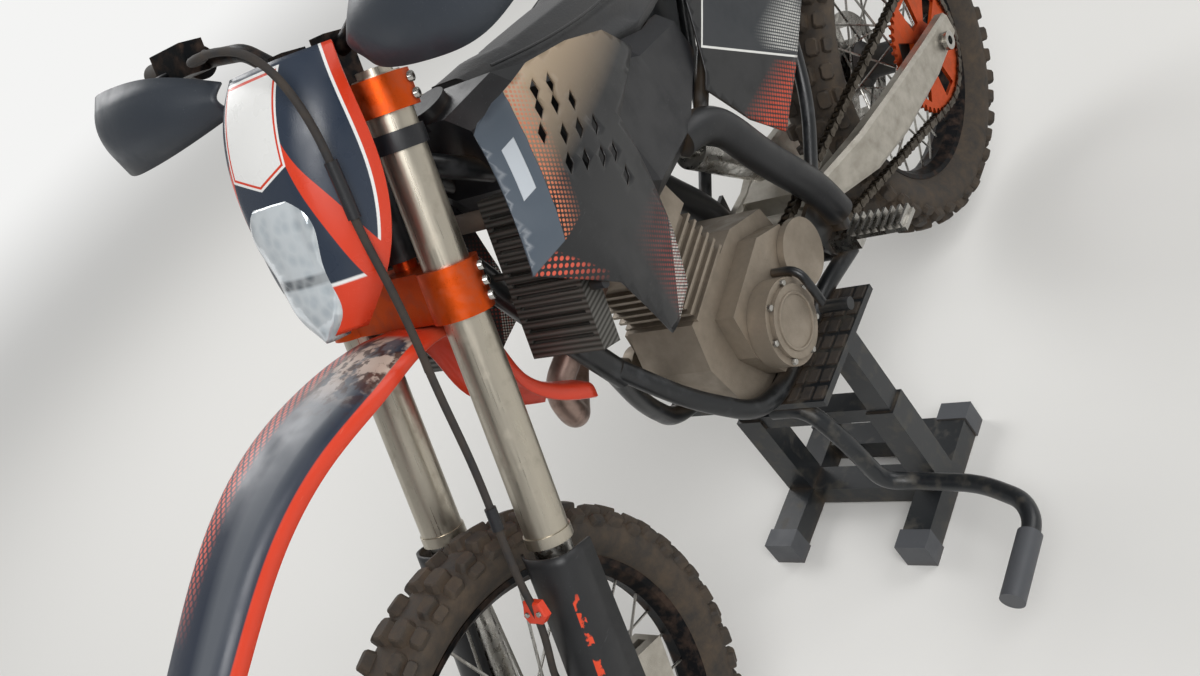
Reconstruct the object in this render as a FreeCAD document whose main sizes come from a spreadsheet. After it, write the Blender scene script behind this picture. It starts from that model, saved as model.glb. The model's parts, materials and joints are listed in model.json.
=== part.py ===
import FreeCAD, Part
import math
import os
import Sketcher

# Off-road motorcycle on a lifting stand, in millimetres.
# Model frame: +X forward, +Y to the rider's left, +Z up, the floor at Z = 0.
# Bike frame: X from the rear axle, Z from the underside of the tyres; the stand lifts it off the floor.
# Steering frame: X ahead of the steering axis, Z up along it, its origin level with the front axle.

SIZES = [
    # Layout of the bike
    ("rear_axle_station", -731.5), ("wheel_lift", 74), ("wheelbase", 1482),
    ("rear_axle_height", 338), ("front_axle_height", 350), ("rake_degrees", 26.5),
    ("axle_lead", 56), ("fork_lead", 22), ("fork_spacing", 195),
    # Wheels and tyres
    ("front_tyre_radius", 350), ("front_tyre_width", 92), ("front_rim_radius", 281),
    ("front_rim_width", 52), ("rear_tyre_radius", 336), ("rear_tyre_width", 132),
    ("rear_rim_radius", 241), ("rear_rim_width", 70), ("rim_depth", 20), ("tyre_seat", 6),
    ("front_hub_width", 136), ("rear_hub_width", 146), ("front_hub_radius", 24), ("rear_hub_radius", 31),
    ("spoke_radius", 2.2), ("spoke_pairs", 9), ("front_knob_height", 13), ("rear_knob_height", 15),
    # Axles and brake discs
    ("front_axle_radius", 13), ("front_axle_bore", 8), ("rear_axle_radius", 12.5), ("rear_axle_bore", 8.5),
    ("rear_axle_length", 264), ("socket_depth", 24), ("bearing_clearance", 0.3), ("front_disc_radius", 130),
    ("rear_disc_radius", 110), ("disc_thickness", 4), ("front_disc_offset", 66), ("rear_disc_offset", 71),
    # Chain drive
    ("chain_offset", 80), ("chain_pitch", 15.875), ("rear_teeth", 48), ("front_teeth", 14),
    ("sprocket_thickness", 7), ("roller_radius", 5), ("chain_width", 17), ("drive_station", 640),
    ("drive_height", 440),
    # Fork and clamps
    ("outer_tube_radius", 28), ("outer_tube_top", 900), ("outer_tube_end", 324), ("inner_tube_radius", 24),
    ("upper_clamp_low", 857), ("upper_clamp_high", 898), ("lower_clamp_low", 616), ("lower_clamp_high", 678),
    ("clamp_wall", 9), ("stem_radius", 15), ("head_radius", 27), ("head_low", 690), ("head_high", 845),
    # Handlebar
    ("bar_height", 942), ("bar_radius", 14), ("grip_radius", 16.5), ("grip_length", 125), ("bar_reach", 405),
    # Frame and swingarm
    ("frame_tube_radius", 15), ("down_tube_radius", 19), ("cradle_spacing", 160), ("spar_spacing", 214),
    ("pivot_station", 555), ("pivot_height", 425), ("pivot_radius", 22), ("pivot_bolt_radius", 9), ("arm_inner", 93), ("arm_thickness", 26),
    # Stand
    ("stand_tube", 50), ("stand_post", 40), ("stand_track", 260), ("stand_length", 300),
    ("stand_station", 720), ("platform_length", 240), ("platform_width", 304), ("platform_depth", 12),
    ("cap_length", 36), ("lever_radius", 14), ("radiator_inner", 48), ("radiator_width", 122), ("panel_thickness", 4), ("seat_gap", 0.3),
]

doc = FreeCAD.newDocument("DirtBike")
sheet = doc.addObject("Spreadsheet::Sheet", "size")
for row, (alias, number) in enumerate(SIZES, start=1):
    sheet.set("A%d" % row, alias)
    sheet.set("B%d" % row, str(number))
    sheet.setAlias("B%d" % row, alias)
doc.recompute()

PARTS = []


def size(alias):
    return float(sheet.get(alias))


def worth(text):
    return float(sheet.evalExpression(text))


def vec(x, y, z):
    return FreeCAD.Vector(x, y, z)


RAKE = math.radians(size("rake_degrees"))
REAR_X = size("rear_axle_station")
LIFT = size("wheel_lift")
AXIS_X = size("wheelbase") - size("axle_lead") * math.cos(RAKE)
AXIS_Z = size("front_axle_height") - size("axle_lead") * math.sin(RAKE)
BIKE = FreeCAD.Placement(vec(REAR_X, 0, LIFT), FreeCAD.Rotation())
STEERING = FreeCAD.Placement(
    vec(REAR_X + AXIS_X, 0, LIFT + AXIS_Z), FreeCAD.Rotation(vec(0, 1, 0), -size("rake_degrees")))
FRONT_WHEEL = FreeCAD.Placement(
    vec(REAR_X + size("wheelbase"), 0, LIFT + size("front_axle_height")), FreeCAD.Rotation())
REAR_WHEEL = FreeCAD.Placement(vec(REAR_X, 0, LIFT + size("rear_axle_height")), FreeCAD.Rotation())
FLOOR = FreeCAD.Placement(vec(REAR_X, 0, 0), FreeCAD.Rotation())


# Helpers for the document


def keep(label, shape, placement):
    """A sub-part whose shape is worked out here from the sheet's sizes."""
    feature = doc.addObject("Part::Feature", label)
    feature.Label = label
    feature.Shape = shape
    feature.Placement = placement.multiply(shape.Placement)
    PARTS.append(feature)
    return feature


def new_body(label, placement):
    body = doc.addObject("PartDesign::Body", label)
    body.Label = label
    body.Placement = placement
    PARTS.append(body)
    return body


def new_sketch(body, role, offset=None):
    sketch = body.newObject("Sketcher::SketchObject", body.Label + "_sketch")
    plane = [item for item in body.Origin.OriginFeatures if item.Role == role][0]
    sketch.AttachmentSupport = [(plane, "")]
    sketch.MapMode = "FlatFace"
    if offset is not None:
        sketch.setExpression("AttachmentOffset.Base.z", offset)
    return sketch


def draw_outline(sketch, corners):
    """Closed outline whose corners are pairs of expressions in the sheet's sizes."""
    first = sketch.GeometryCount
    points = [vec(worth(across), worth(up), 0) for across, up in corners]
    count = len(points)
    for index in range(count):
        sketch.addGeometry(Part.LineSegment(points[index], points[(index + 1) % count]), False)
    for index in range(count):
        following = first + (index + 1) % count
        sketch.addConstraint(Sketcher.Constraint("Coincident", first + index, 2, following, 1))
    for index, (across, up) in enumerate(corners):
        for kind, text, axis in (("DistanceX", across, -2), ("DistanceY", up, -1)):
            if worth(text) == 0:
                sketch.addConstraint(Sketcher.Constraint("PointOnObject", first + index, 1, axis))
                continue
            rule = sketch.addConstraint(
                Sketcher.Constraint(kind, -1, 1, first + index, 1, worth(text)))
            sketch.setExpression("Constraints[%d]" % rule, text)


def draw_circle(sketch, across, up, radius):
    index = sketch.addGeometry(
        Part.Circle(vec(worth(across), worth(up), 0), vec(0, 0, 1), worth(radius)), False)
    rule = sketch.addConstraint(Sketcher.Constraint("Radius", index, worth(radius)))
    sketch.setExpression("Constraints[%d]" % rule, radius)
    for kind, text, axis in (("DistanceX", across, -2), ("DistanceY", up, -1)):
        if worth(text) == 0:
            sketch.addConstraint(Sketcher.Constraint("PointOnObject", index, 3, axis))
            continue
        rule = sketch.addConstraint(Sketcher.Constraint(kind, -1, 1, index, 3, worth(text)))
        sketch.setExpression("Constraints[%d]" % rule, text)


def turned(label, placement, corners):
    """A body of revolution about its own Y axis; corners are radius and Y."""
    body = new_body(label, placement)
    sketch = new_sketch(body, "XY_Plane")
    draw_outline(sketch, corners)
    turn = body.newObject("PartDesign::Revolution", label + "_turn")
    turn.Profile = sketch
    turn.ReferenceAxis = (sketch, ["V_Axis"])
    turn.Angle = 360
    body.Tip = turn
    return body


def pad(body, sketch, length, midplane=False, reverse=False):
    feature = body.newObject("PartDesign::Pad", body.Label + "_pad")
    feature.Profile = sketch
    feature.setExpression("Length", length)
    feature.Midplane = midplane
    feature.Reversed = reverse
    body.Tip = feature
    return feature


# Helpers for shapes


def merged(shapes):
    result = shapes[0]
    if len(shapes) > 1:
        result = shapes[0].fuse(shapes[1:])
    return result.removeSplitter()


def mirrored(shape):
    return shape.mirror(vec(0, 0, 0), vec(0, 1, 0))


def both_sides(shape):
    return Part.makeCompound([shape, mirrored(shape)])


def rod(start, end, radius):
    along = end - start
    return Part.makeCylinder(radius, along.Length, start, along)


def cross_rod(x, z, radius, low, high):
    """Cylinder along Y between two offsets."""
    return Part.makeCylinder(radius, high - low, vec(x, low, z), vec(0, 1, 0))


def bent_path(points, share=0.45):
    """Straight runs joined by tangent arcs as large as their runs allow."""
    corners = [vec(*point) for point in points]
    edges = []
    start = corners[0]
    for before, corner, after in zip(corners, corners[1:], corners[2:]):
        reach = share * min((corner - before).Length, (after - corner).Length)
        entry = corner + (before - corner).normalize() * reach
        leave = corner + (after - corner).normalize() * reach
        turn = (corner - before).getAngle(after - corner)
        radius = reach / math.tan(turn / 2)
        towards = ((before - corner).normalize() + (after - corner).normalize()).normalize()
        centre = corner + towards * (radius / math.cos(turn / 2))
        middle = centre + (corner - centre).normalize() * radius
        edges.append(Part.LineSegment(start, entry).toShape())
        edges.append(Part.Arc(entry, middle, leave).toShape())
        start = leave
    edges.append(Part.LineSegment(start, corners[-1]).toShape())
    return Part.Wire(edges)


def tube(points, radius, share=0.45):
    """Round bar along a bent path."""
    path = bent_path(points, share)
    heading = path.Edges[0].tangentAt(path.Edges[0].FirstParameter)
    ring = Part.Wire(Part.makeCircle(radius, vec(*points[0]), heading))
    return path.makePipeShell([ring], True, False)


def polygon(points):
    corners = [vec(*point) for point in points]
    return Part.makePolygon(corners + corners[:1])


def loft(sections, ruled=True):
    return Part.makeLoft([polygon(section) for section in sections], True, ruled)


def side_plate(outline, low, high):
    """Plate in the plane of the wheels, between two offsets, from X and Z corners."""
    face = Part.Face(polygon([(x, low, z) for x, z in outline]))
    return face.extrude(vec(0, high - low, 0))


def rounded_section(x, half_width, low, high, corner, tilt=0.0):
    """Closed section across the bike: a rectangle with cut corners, leaning back by the tilt."""
    rows = [
        (half_width, low + corner), (half_width, high - corner), (half_width - corner, high),
        (corner - half_width, high), (-half_width, high - corner), (-half_width, low + corner),
        (corner - half_width, low), (half_width - corner, low)]
    return [(x + tilt * (z - low), y, z) for y, z in rows]


# Wheels


def tyre(label, placement, name, seat_name):
    """Tyre section out to the tips of its knobs, bead to bead."""
    radius = "size.%s_tyre_radius" % name
    half = "size.%s_tyre_width / 2" % name
    rim = "size.%s_rim_radius" % name
    bead = "size.%s_rim_width / 2 - size.tyre_seat" % name
    corners = [
        ("%s + 1" % rim, "%s" % bead), ("%s + 14" % rim, "%s - 5" % half),
        ("%s - 34" % radius, half), ("%s - 17" % radius, "%s - 1" % half),
        ("%s - 4" % radius, "%s * 0.62" % half), (radius, "%s * 0.3" % half),
        (radius, "-%s * 0.3" % half), ("%s - 4" % radius, "-%s * 0.62" % half),
        ("%s - 17" % radius, "-(%s) + 1" % half), ("%s - 34" % radius, "-(%s)" % half),
        ("%s + 14" % rim, "-(%s) + 5" % half), ("%s + 1" % rim, "-(%s)" % bead)]
    return turned(label, placement, corners)


def rim(label, placement, name):
    """Drop-centre rim with two flanges that hold the beads."""
    radius = "size.%s_rim_radius" % name
    half = "size.%s_rim_width / 2" % name
    corners = [
        ("%s - size.rim_depth" % radius, "-(%s) * 0.35" % half),
        ("%s - 9" % radius, "-(%s) + 3" % half), (radius, "-(%s)" % half),
        (radius, "-(%s) + size.tyre_seat" % half), ("%s - 7" % radius, "-(%s) + size.tyre_seat + 3" % half),
        ("%s - size.rim_depth + 4" % radius, "-(%s) * 0.3" % half),
        ("%s - size.rim_depth + 4" % radius, "%s * 0.3" % half),
        ("%s - 7" % radius, "%s - size.tyre_seat - 3" % half), (radius, "%s - size.tyre_seat" % half),
        (radius, half), ("%s - 9" % radius, "%s - 3" % half),
        ("%s - size.rim_depth" % radius, "%s * 0.35" % half)]
    return turned(label, placement, corners)


def hub(label, placement, name, disc_side):
    """Hub shell with two spoke flanges, a disc seat and a bore for the axle."""
    half = "size.%s_hub_width / 2" % name
    body = "size.%s_hub_radius" % name
    bore = "size.%s_axle_radius + size.bearing_clearance" % name
    corners = [
        (bore, "-(%s)" % half), ("%s - 4" % body, "-(%s)" % half), ("%s - 4" % body, "-(%s) + 12" % half),
        ("%s + 14" % body, "-(%s) + 18" % half), ("%s + 14" % body, "-(%s) + 25" % half),
        (body, "-(%s) + 34" % half), (body, "%s - 34" % half), ("%s + 14" % body, "%s - 25" % half),
        ("%s + 14" % body, "%s - 18" % half), ("%s - 4" % body, "%s - 12" % half),
        ("%s - 4" % body, half), (bore, half)]
    return turned(label, placement, corners)


def spokes(label, placement, name):
    """Crossed spokes from the hub flanges to the rim, two of every four on each side."""
    reach = size("%s_rim_radius" % name) - size("rim_depth")
    flange = size("%s_hub_radius" % name) + 14 + 0.9 * size("spoke_radius")
    offset = size("%s_hub_width" % name) / 2 - 21.5
    pairs = int(size("spoke_pairs"))
    step = 360.0 / pairs
    cross = 62.0
    bars = []
    for side in (1, -1):
        for pair in range(pairs):
            for lean in (1, -1):
                middle = pair * step + (step / 4 if side > 0 else step * 3 / 4)
                start = math.radians(middle + lean * (step / 8 + cross))
                end = math.radians(middle + lean * step / 8)
                inner = vec(flange * math.cos(start), side * (offset + lean * 0.2), flange * math.sin(start))
                outer = vec(reach * math.cos(end), side * 6.0, reach * math.sin(end))
                bars.append(spoke_bar(inner, outer))
    return keep(label, Part.makeCompound(bars), placement)


def spoke_bar(inner, outer):
    """Six-sided bar between two points."""
    along = outer - inner
    aside = along.cross(vec(0, 1, 0)).normalize()
    upward = along.cross(aside).normalize()
    corners = []
    for step in range(6):
        angle = math.radians(60 * step)
        corners.append(inner + (aside * math.cos(angle) + upward * math.sin(angle)) * size("spoke_radius"))
    face = Part.Face(Part.makePolygon(corners + corners[:1]))
    return face.extrude(along)


def brake_disc(label, placement, name, side):
    """Vented disc with a carrier that seats on the hub."""
    body = new_body(label, placement)
    offset = "size.%s_disc_offset * %d" % (name, side)
    sketch = new_sketch(body, "XZ_Plane", "-(%s)" % offset)
    draw_circle(sketch, "0", "0", "size.%s_disc_radius" % name)
    draw_circle(sketch, "0", "0", "size.%s_hub_radius - 3.7" % name)
    plate = pad(body, sketch, "size.disc_thickness", midplane=True)
    holes = new_sketch(body, "XZ_Plane", "-(%s)" % offset)
    draw_outline(holes, [
        ("size.%s_disc_radius * 0.5" % name, "-(size.%s_disc_radius) * 0.16" % name),
        ("size.%s_disc_radius * 0.72" % name, "-(size.%s_disc_radius) * 0.22" % name),
        ("size.%s_disc_radius * 0.72" % name, "size.%s_disc_radius * 0.22" % name),
        ("size.%s_disc_radius * 0.5" % name, "size.%s_disc_radius * 0.16" % name)])
    window = body.newObject("PartDesign::Pocket", label + "_window")
    window.Profile = holes
    window.Type = 1
    window.Midplane = True
    body.Tip = window
    doc.recompute()
    pattern = body.newObject("PartDesign::PolarPattern", label + "_windows")
    pattern.Originals = [window]
    pattern.Axis = (sketch, ["N_Axis"])
    pattern.Angle = 360
    pattern.Occurrences = 6
    body.Tip = pattern
    return body


def toothed_wheel(teeth, pitch, thickness, bore):
    """Sprocket whose tooth gaps fit the chain's rollers, flat in the XZ plane."""
    pitch_radius = pitch / 2 / math.sin(math.pi / teeth)
    roller = size("roller_radius")
    points = []
    for tooth in range(teeth):
        for share, radius in ((-0.34, pitch_radius - roller), (0.0, pitch_radius - roller - 0.6),
                              (0.34, pitch_radius - roller), (0.62, pitch_radius + 3)):
            if share == 0.62:
                for corner in (0.64, 0.86):
                    angle = 2 * math.pi * (tooth + corner - 0.25) / teeth
                    points.append((radius * math.cos(angle), 0, radius * math.sin(angle)))
                continue
            angle = 2 * math.pi * (tooth + share * 0.6) / teeth
            points.append((radius * math.cos(angle), 0, radius * math.sin(angle)))
    disc = Part.Face(polygon(points)).extrude(vec(0, thickness, 0))
    disc.translate(vec(0, -thickness / 2, 0))
    return disc.cut(cross_rod(0, 0, bore, -thickness, thickness))


def rear_sprocket():
    shape = toothed_wheel(int(size("rear_teeth")), size("chain_pitch"), size("sprocket_thickness"),
                          size("rear_hub_radius") - 3.7)
    pitch_radius = size("chain_pitch") / 2 / math.sin(math.pi / size("rear_teeth"))
    window = side_plate([(46, -14), (pitch_radius - 18, -22), (pitch_radius - 18, 22), (46, 14)], -20, 20)
    for step in range(6):
        shape = shape.cut(window.rotated(vec(0, 0, 0), vec(0, 1, 0), 30 + step * 60))
    shape.translate(vec(0, size("chain_offset"), 0))
    carrier = cross_rod(0, 0, size("rear_hub_radius") + 14, size("rear_hub_width") / 2,
                        size("chain_offset") - size("sprocket_thickness") / 2)
    carrier = carrier.cut(cross_rod(0, 0, size("rear_axle_radius") + 2, 0, size("chain_offset")))
    return keep("rear_sprocket", merged([shape, carrier]), REAR_WHEEL)


def axle(label, placement, name, length):
    """Axle along Y with a head and a nut, and a socket in each end."""
    body = turned(label, placement, [
        ("0", "-(%s) / 2" % length), ("size.%s_axle_radius + 5" % name, "-(%s) / 2" % length),
        ("size.%s_axle_radius + 5" % name, "-(%s) / 2 + 8" % length),
        ("size.%s_axle_radius" % name, "-(%s) / 2 + 8" % length),
        ("size.%s_axle_radius" % name, "%s / 2 - 8" % length),
        ("size.%s_axle_radius + 5" % name, "%s / 2 - 8" % length),
        ("size.%s_axle_radius + 5" % name, "%s / 2" % length), ("0", "%s / 2" % length)])
    for side, reverse in ((1, False), (-1, True)):
        socket = new_sketch(body, "XZ_Plane", "-(%s) / 2 * %d" % (length, side))
        draw_circle(socket, "0", "0", "size.%s_axle_bore" % name)
        pocket = body.newObject("PartDesign::Pocket", label + "_socket")
        pocket.Profile = socket
        pocket.setExpression("Length", "size.socket_depth")
        pocket.Reversed = side > 0
        body.Tip = pocket
    return body


def wheels():
    for name, placement in (("front", FRONT_WHEEL), ("rear", REAR_WHEEL)):
        tyre(name + "_tyre", placement, name, name)
        rim(name + "_rim", placement, name)
        hub(name + "_hub", placement, name, 1)
        spokes(name + "_spokes", placement, name)
    brake_disc("front_brake_disc", FRONT_WHEEL, "front", 1)
    brake_disc("rear_brake_disc", REAR_WHEEL, "rear", -1)
    rear_sprocket()
    axle("front_axle", FRONT_WHEEL, "front", "(size.fork_spacing + 36)")
    axle("rear_axle", REAR_WHEEL, "rear", "size.rear_axle_length")



# Steering: fork, clamps, handlebar, mask and fender


def clamp(label, low, high, radius, stem_end):
    """Fork clamp: a web between two collars, with pinch ears behind and the stem below the upper one."""
    body = new_body(label, STEERING)
    web = new_sketch(body, "XY_Plane", low)
    draw_outline(web, [
        ("size.fork_lead + 26", "-(size.fork_spacing) / 2"), ("size.fork_lead + 26", "size.fork_spacing / 2"),
        ("size.fork_lead - 22", "size.fork_spacing / 2"), ("-(size.head_radius) + 1", "size.head_radius * 0.8"),
        ("-(size.head_radius) + 1", "-(size.head_radius) * 0.8"),
        ("size.fork_lead - 22", "-(size.fork_spacing) / 2")])
    pad(body, web, "%s - %s" % (high, low))
    collars = new_sketch(body, "XY_Plane", low)
    ears = new_sketch(body, "XY_Plane", low)
    bores = new_sketch(body, "XY_Plane", low)
    for side in ("", "-"):
        middle = side + "size.fork_spacing / 2" if side == "" else "-(size.fork_spacing) / 2"
        draw_circle(collars, "size.fork_lead", middle, radius + " + size.clamp_wall")
        draw_circle(bores, "size.fork_lead", middle, radius)
        draw_outline(ears, [
            ("size.fork_lead - 12", middle + " - 11"), ("size.fork_lead - 12", middle + " + 11"),
            ("size.fork_lead - 12 - %s" % radius, middle + " + 11"),
            ("size.fork_lead - 12 - %s" % radius, middle + " - 11")])
    pad(body, collars, "%s - %s" % (high, low))
    pad(body, ears, "%s - %s" % (high, low))
    pocket = body.newObject("PartDesign::Pocket", label + "_bores")
    pocket.Profile = bores
    pocket.Type = 1
    pocket.Midplane = True
    body.Tip = pocket
    if stem_end is not None:
        stem = new_sketch(body, "XY_Plane", high)
        draw_circle(stem, "0", "0", "size.stem_radius")
        pad(body, stem, "%s - %s" % (stem_end, high))
    return body


def fork_outer_tubes():
    low = size("outer_tube_end")
    high = size("outer_tube_top")
    shell = Part.makeCylinder(size("outer_tube_radius"), high - low)
    shell = shell.cut(Part.makeCylinder(size("inner_tube_radius"), high - low - 12))
    collar = Part.makeCylinder(size("outer_tube_radius") + 2, 14).cut(
        Part.makeCylinder(size("inner_tube_radius"), 14))
    cap = Part.makeCylinder(size("inner_tube_radius") - 3, 8, vec(0, 0, high - low))
    leg = merged([shell, collar, cap])
    leg.translate(vec(size("fork_lead"), size("fork_spacing") / 2, low))
    return keep("fork_outer_tubes", both_sides(leg), STEERING)


def lower_leg():
    """Left inner tube with the lug that clamps the axle ahead of it."""
    spacing = size("fork_spacing") / 2
    lead = size("fork_lead")
    ahead = size("axle_lead")
    inner = size("inner_tube_radius")
    tube_leg = Part.makeCylinder(inner, size("outer_tube_end") + 220, vec(lead, spacing, 0))
    boss = Part.makeCylinder(26, 42, vec(ahead, spacing - 21, 0), vec(0, 1, 0))
    cheek = Part.Face(polygon([(lead - inner, spacing - 18, -14), (ahead, spacing - 18, -26),
                               (ahead + 24, spacing - 18, 8), (lead + inner, spacing - 18, 78),
                               (lead - inner, spacing - 18, 78)])).extrude(vec(0, 36, 0))
    leg = merged([tube_leg, boss, cheek])
    leg = leg.cut(Part.makeCylinder(size("front_axle_radius"), 80, vec(ahead, spacing - 40, 0), vec(0, 1, 0)))
    return leg.cut(Part.makeCylinder(size("front_axle_radius") + 5, 20, vec(ahead, spacing + 10, 0),
                                     vec(0, 1, 0)))


def fork_lower_legs():
    return keep("fork_lower_legs", both_sides(lower_leg()), STEERING)


def fork_guards():
    """Plastic shields that wrap the front and outside of the lower legs."""
    spacing = size("fork_spacing") / 2
    lead = size("fork_lead")
    # columns: level, outer radius ahead, half width
    stations = [(-34, 44, 33), (60, 40, 33), (size("outer_tube_end") - 8, 36, 34)]
    sections = []
    for level, ahead, half in stations:
        sections.append([
            (lead - 20, spacing + half, level), (lead + ahead * 0.62, spacing + half, level),
            (lead + ahead, spacing + half * 0.45, level), (lead + ahead, spacing - half * 0.45, level),
            (lead + ahead * 0.62, spacing - half + 11, level), (lead + ahead * 0.62 - 4, spacing - half + 14, level),
            (lead + ahead - 4, spacing - half * 0.4, level), (lead + ahead - 4, spacing + half * 0.4, level),
            (lead + ahead * 0.62 - 4, spacing + half - 4, level), (lead - 20, spacing + half - 4, level)])
    shield = loft(sections)
    foot = Part.makeBox(24, 34, 40, vec(lead - 10, spacing, 30))
    shield = merged([shield, foot]).cut(lower_leg())
    axle_space = Part.makeCylinder(size("front_axle_radius") + 6, 90, vec(size("axle_lead"), spacing - 30, 0),
                                   vec(0, 1, 0))
    shield = shield.cut(axle_space)
    whole = max(shield.Solids, key=lambda solid: solid.Volume)
    return keep("fork_guards", both_sides(whole), STEERING)


def bar_route():
    """Right half to left half of the handlebar, as points in the steering frame."""
    middle = size("fork_lead") - 4
    height = size("bar_height")
    reach = size("bar_reach")
    half = [(middle, 60, height), (middle - 6, 128, height + 42), (middle - 14, 200, height + 52),
            (middle - 52, reach, height + 70)]
    return [(a, -y, t) for a, y, t in reversed(half)] + half


def handlebar():
    bar = tube(bar_route(), size("bar_radius") - 3, 0.25)
    middle = size("fork_lead") - 4
    base = size("upper_clamp_high")
    mounts = []
    for side in (-1, 1):
        post = Part.makeBox(36, 28, size("bar_height") + 20 - base, vec(middle - 18, side * 42 - 14, base))
        mounts.append(post)
    return keep("handlebar", merged([bar] + mounts), STEERING)


def grips():
    route = bar_route()
    end = vec(*route[-1])
    inward = (vec(*route[-2]) - end).normalize()
    sleeve = rod(end, end + inward * size("grip_length"), size("grip_radius"))
    core = rod(end - inward, end + inward * (size("grip_length") + 1), size("bar_radius") - 3)
    return keep("grips", both_sides(sleeve.cut(core)), STEERING)


def controls():
    """Brake and clutch reservoirs with their levers, clamped on the bar inboard of the grips."""
    route = bar_route()
    end = vec(*route[-1])
    knee = vec(*route[-2])
    inward = (knee - end).normalize()
    centre = end + inward * (size("grip_length") + 22)
    ring = rod(centre - inward * 14, centre + inward * 14, 22)
    ring = ring.cut(rod(centre - inward * 20, centre + inward * 20, size("bar_radius") - 3))
    tank = Part.makeBox(34, 74, 40, vec(centre.x + 14, centre.y - 52, centre.z - 16))
    pivot = vec(centre.x + 40, centre.y - 12, centre.z - 4)
    lever = tube([(pivot.x, pivot.y, pivot.z), (pivot.x + 12, pivot.y + 40, pivot.z - 4),
                  (pivot.x - 2, pivot.y + 142, pivot.z + 4)], 5.5)
    side = merged([ring, tank.cut(rod(centre - inward * 90, centre + inward * 60, 12)), lever])
    return keep("bar_controls", both_sides(side), STEERING)


def handguards():
    # columns: Y, A at the middle, lowest T, highest T
    stations = [(132, 74, 908, 962), (200, 112, 884, 1004), (300, 126, 872, 1034),
                (372, 104, 892, 1044), (404, 66, 924, 1040), (418, 14, 958, 1036)]
    sections = []
    for across, ahead, low, high in stations:
        middle = (low + high) / 2
        sections.append([(ahead - 14, across, low), (ahead + 4, across, middle), (ahead - 14, across, high),
                         (ahead - 18, across, high - 2), (ahead, across, middle), (ahead - 18, across, low + 2)])
    shell = loft(sections)
    route = bar_route()
    end = vec(*route[-1])
    outward = (end - vec(*route[-2])).normalize()
    cap = rod(end + outward * size("seat_gap"), end + outward * 14, 13)
    strut = rod(end + outward * 9, vec(16, 418, 1000), 5)
    inner = rod(vec(72, 136, 936), vec(30, 118, 966), 6)
    return keep("handguards", both_sides(merged([shell, inner, cap, strut]).cut(tube(bar_route(), size("bar_radius") - 2.7, 0.25))), STEERING)


def mask_section(level, front_half, front, side_half, side):
    """C-shaped section of the headlight mask, open behind."""
    wall = size("panel_thickness")
    outer = [(side, side_half), (front, front_half), (front, -front_half), (side, -side_half)]
    inner = [(side, wall - side_half), (front - wall, wall - front_half),
             (front - wall, front_half - wall), (side, side_half - wall)]
    return [(a, y, level) for a, y in outer + inner]


def headlight_mask():
    # columns: T, half width of the front, A of the front, half width at the sides, A of the sides
    stations = [(665, 30, 136, 66, 118), (720, 50, 142, 118, 104), (775, 58, 143, 136, 98),
                (830, 62, 138, 130, 90), (935, 60, 122, 120, 106), (948, 54, 118, 112, 106)]
    shell = loft([mask_section(*row) for row in stations])
    shell = shell.cut(lens_solid(0.0))
    straps = []
    for level in (728, 838):
        straps.append(Part.makeBox(60, 12, 16, vec(size("fork_lead") + size("outer_tube_radius"),
                                                   size("fork_spacing") / 2 - 6, level)))
    straps = Part.makeCompound(straps)
    shell = merged([shell] + straps.Solids + mirrored(straps).Solids)
    return keep("headlight_mask", shell, STEERING)


def lens_solid(grow):
    """Headlamp glass, wide at the top and pointed below, standing proud of the mask."""
    # columns: T, half width, A of the face
    stations = [(666, 20, 142), (720, 44, 152), (770, 54, 152), (784, 52, 146)]
    sections = []
    for level, half, front in stations:
        sections.append([(front - 34, half + grow, level), (front - 8, half + grow, level),
                         (front + grow, half * 0.6, level), (front + grow, -half * 0.6, level),
                         (front - 8, -half - grow, level), (front - 34, -half - grow, level)])
    return loft(sections)


def headlight():
    return keep("headlight_lens", lens_solid(0.0), STEERING)


def front_fender():
    """Fender hung under the lower clamp: a channel that arches over the tyre."""
    # columns: A, T of the crown, half width, depth of the sides
    stations = [(-150, 446, 54, 24), (-86, 506, 58, 22), (-52, 572, 62, 14), (0, 604, 64, 12),
                (66, 610, 65, 16), (160, 592, 78, 30), (300, 535, 80, 34), (440, 445, 82, 34), (560, 335, 70, 26),
                (610, 275, 40, 12)]
    wall = size("panel_thickness")
    sections = []
    for index, (ahead, crown, half, depth) in enumerate(stations):
        before = stations[max(index - 1, 0)]
        after = stations[min(index + 1, len(stations) - 1)]
        slope = math.atan2(after[1] - before[1], after[0] - before[0])
        rows = [(-depth, half), (-depth * 0.2, half * 0.86), (0, half * 0.5), (0, -half * 0.5),
                (-depth * 0.2, -half * 0.86), (-depth, -half), (-depth, wall - half),
                (-depth * 0.2 - wall, wall - half * 0.86), (-wall, -half * 0.5), (-wall, half * 0.5),
                (-depth * 0.2 - wall, half * 0.86 - wall), (-depth, half - wall)]
        sections.append([(ahead - drop * math.sin(slope), across, crown + drop * math.cos(slope))
                         for drop, across in rows])
    shell = loft(sections)
    spacer = Part.makeBox(40, 60, size("lower_clamp_low") - 604, vec(8, -30, 604))
    return keep("front_fender", merged([shell, spacer]), STEERING)


def front_caliper():
    offset = size("front_disc_offset")
    body = Part.makeBox(70, 44, 84, vec(size("axle_lead") - 148, offset - 22, 30))
    slot = Part.makeBox(90, size("disc_thickness") + 10, 120,
                        vec(size("axle_lead") - 160, offset - size("disc_thickness") / 2 - 5, 20))
    back = Part.makeBox(12, 44, 84, vec(size("axle_lead") - 148 - 12, offset - 22, 30))
    bracket = side_plate([(-82, 34), (-2, 20), (-2, 62), (-82, 100)], offset + 14, offset + 22)
    shape = merged([body.cut(slot), back, bracket])
    return keep("front_brake_caliper", shape, STEERING)


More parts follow.
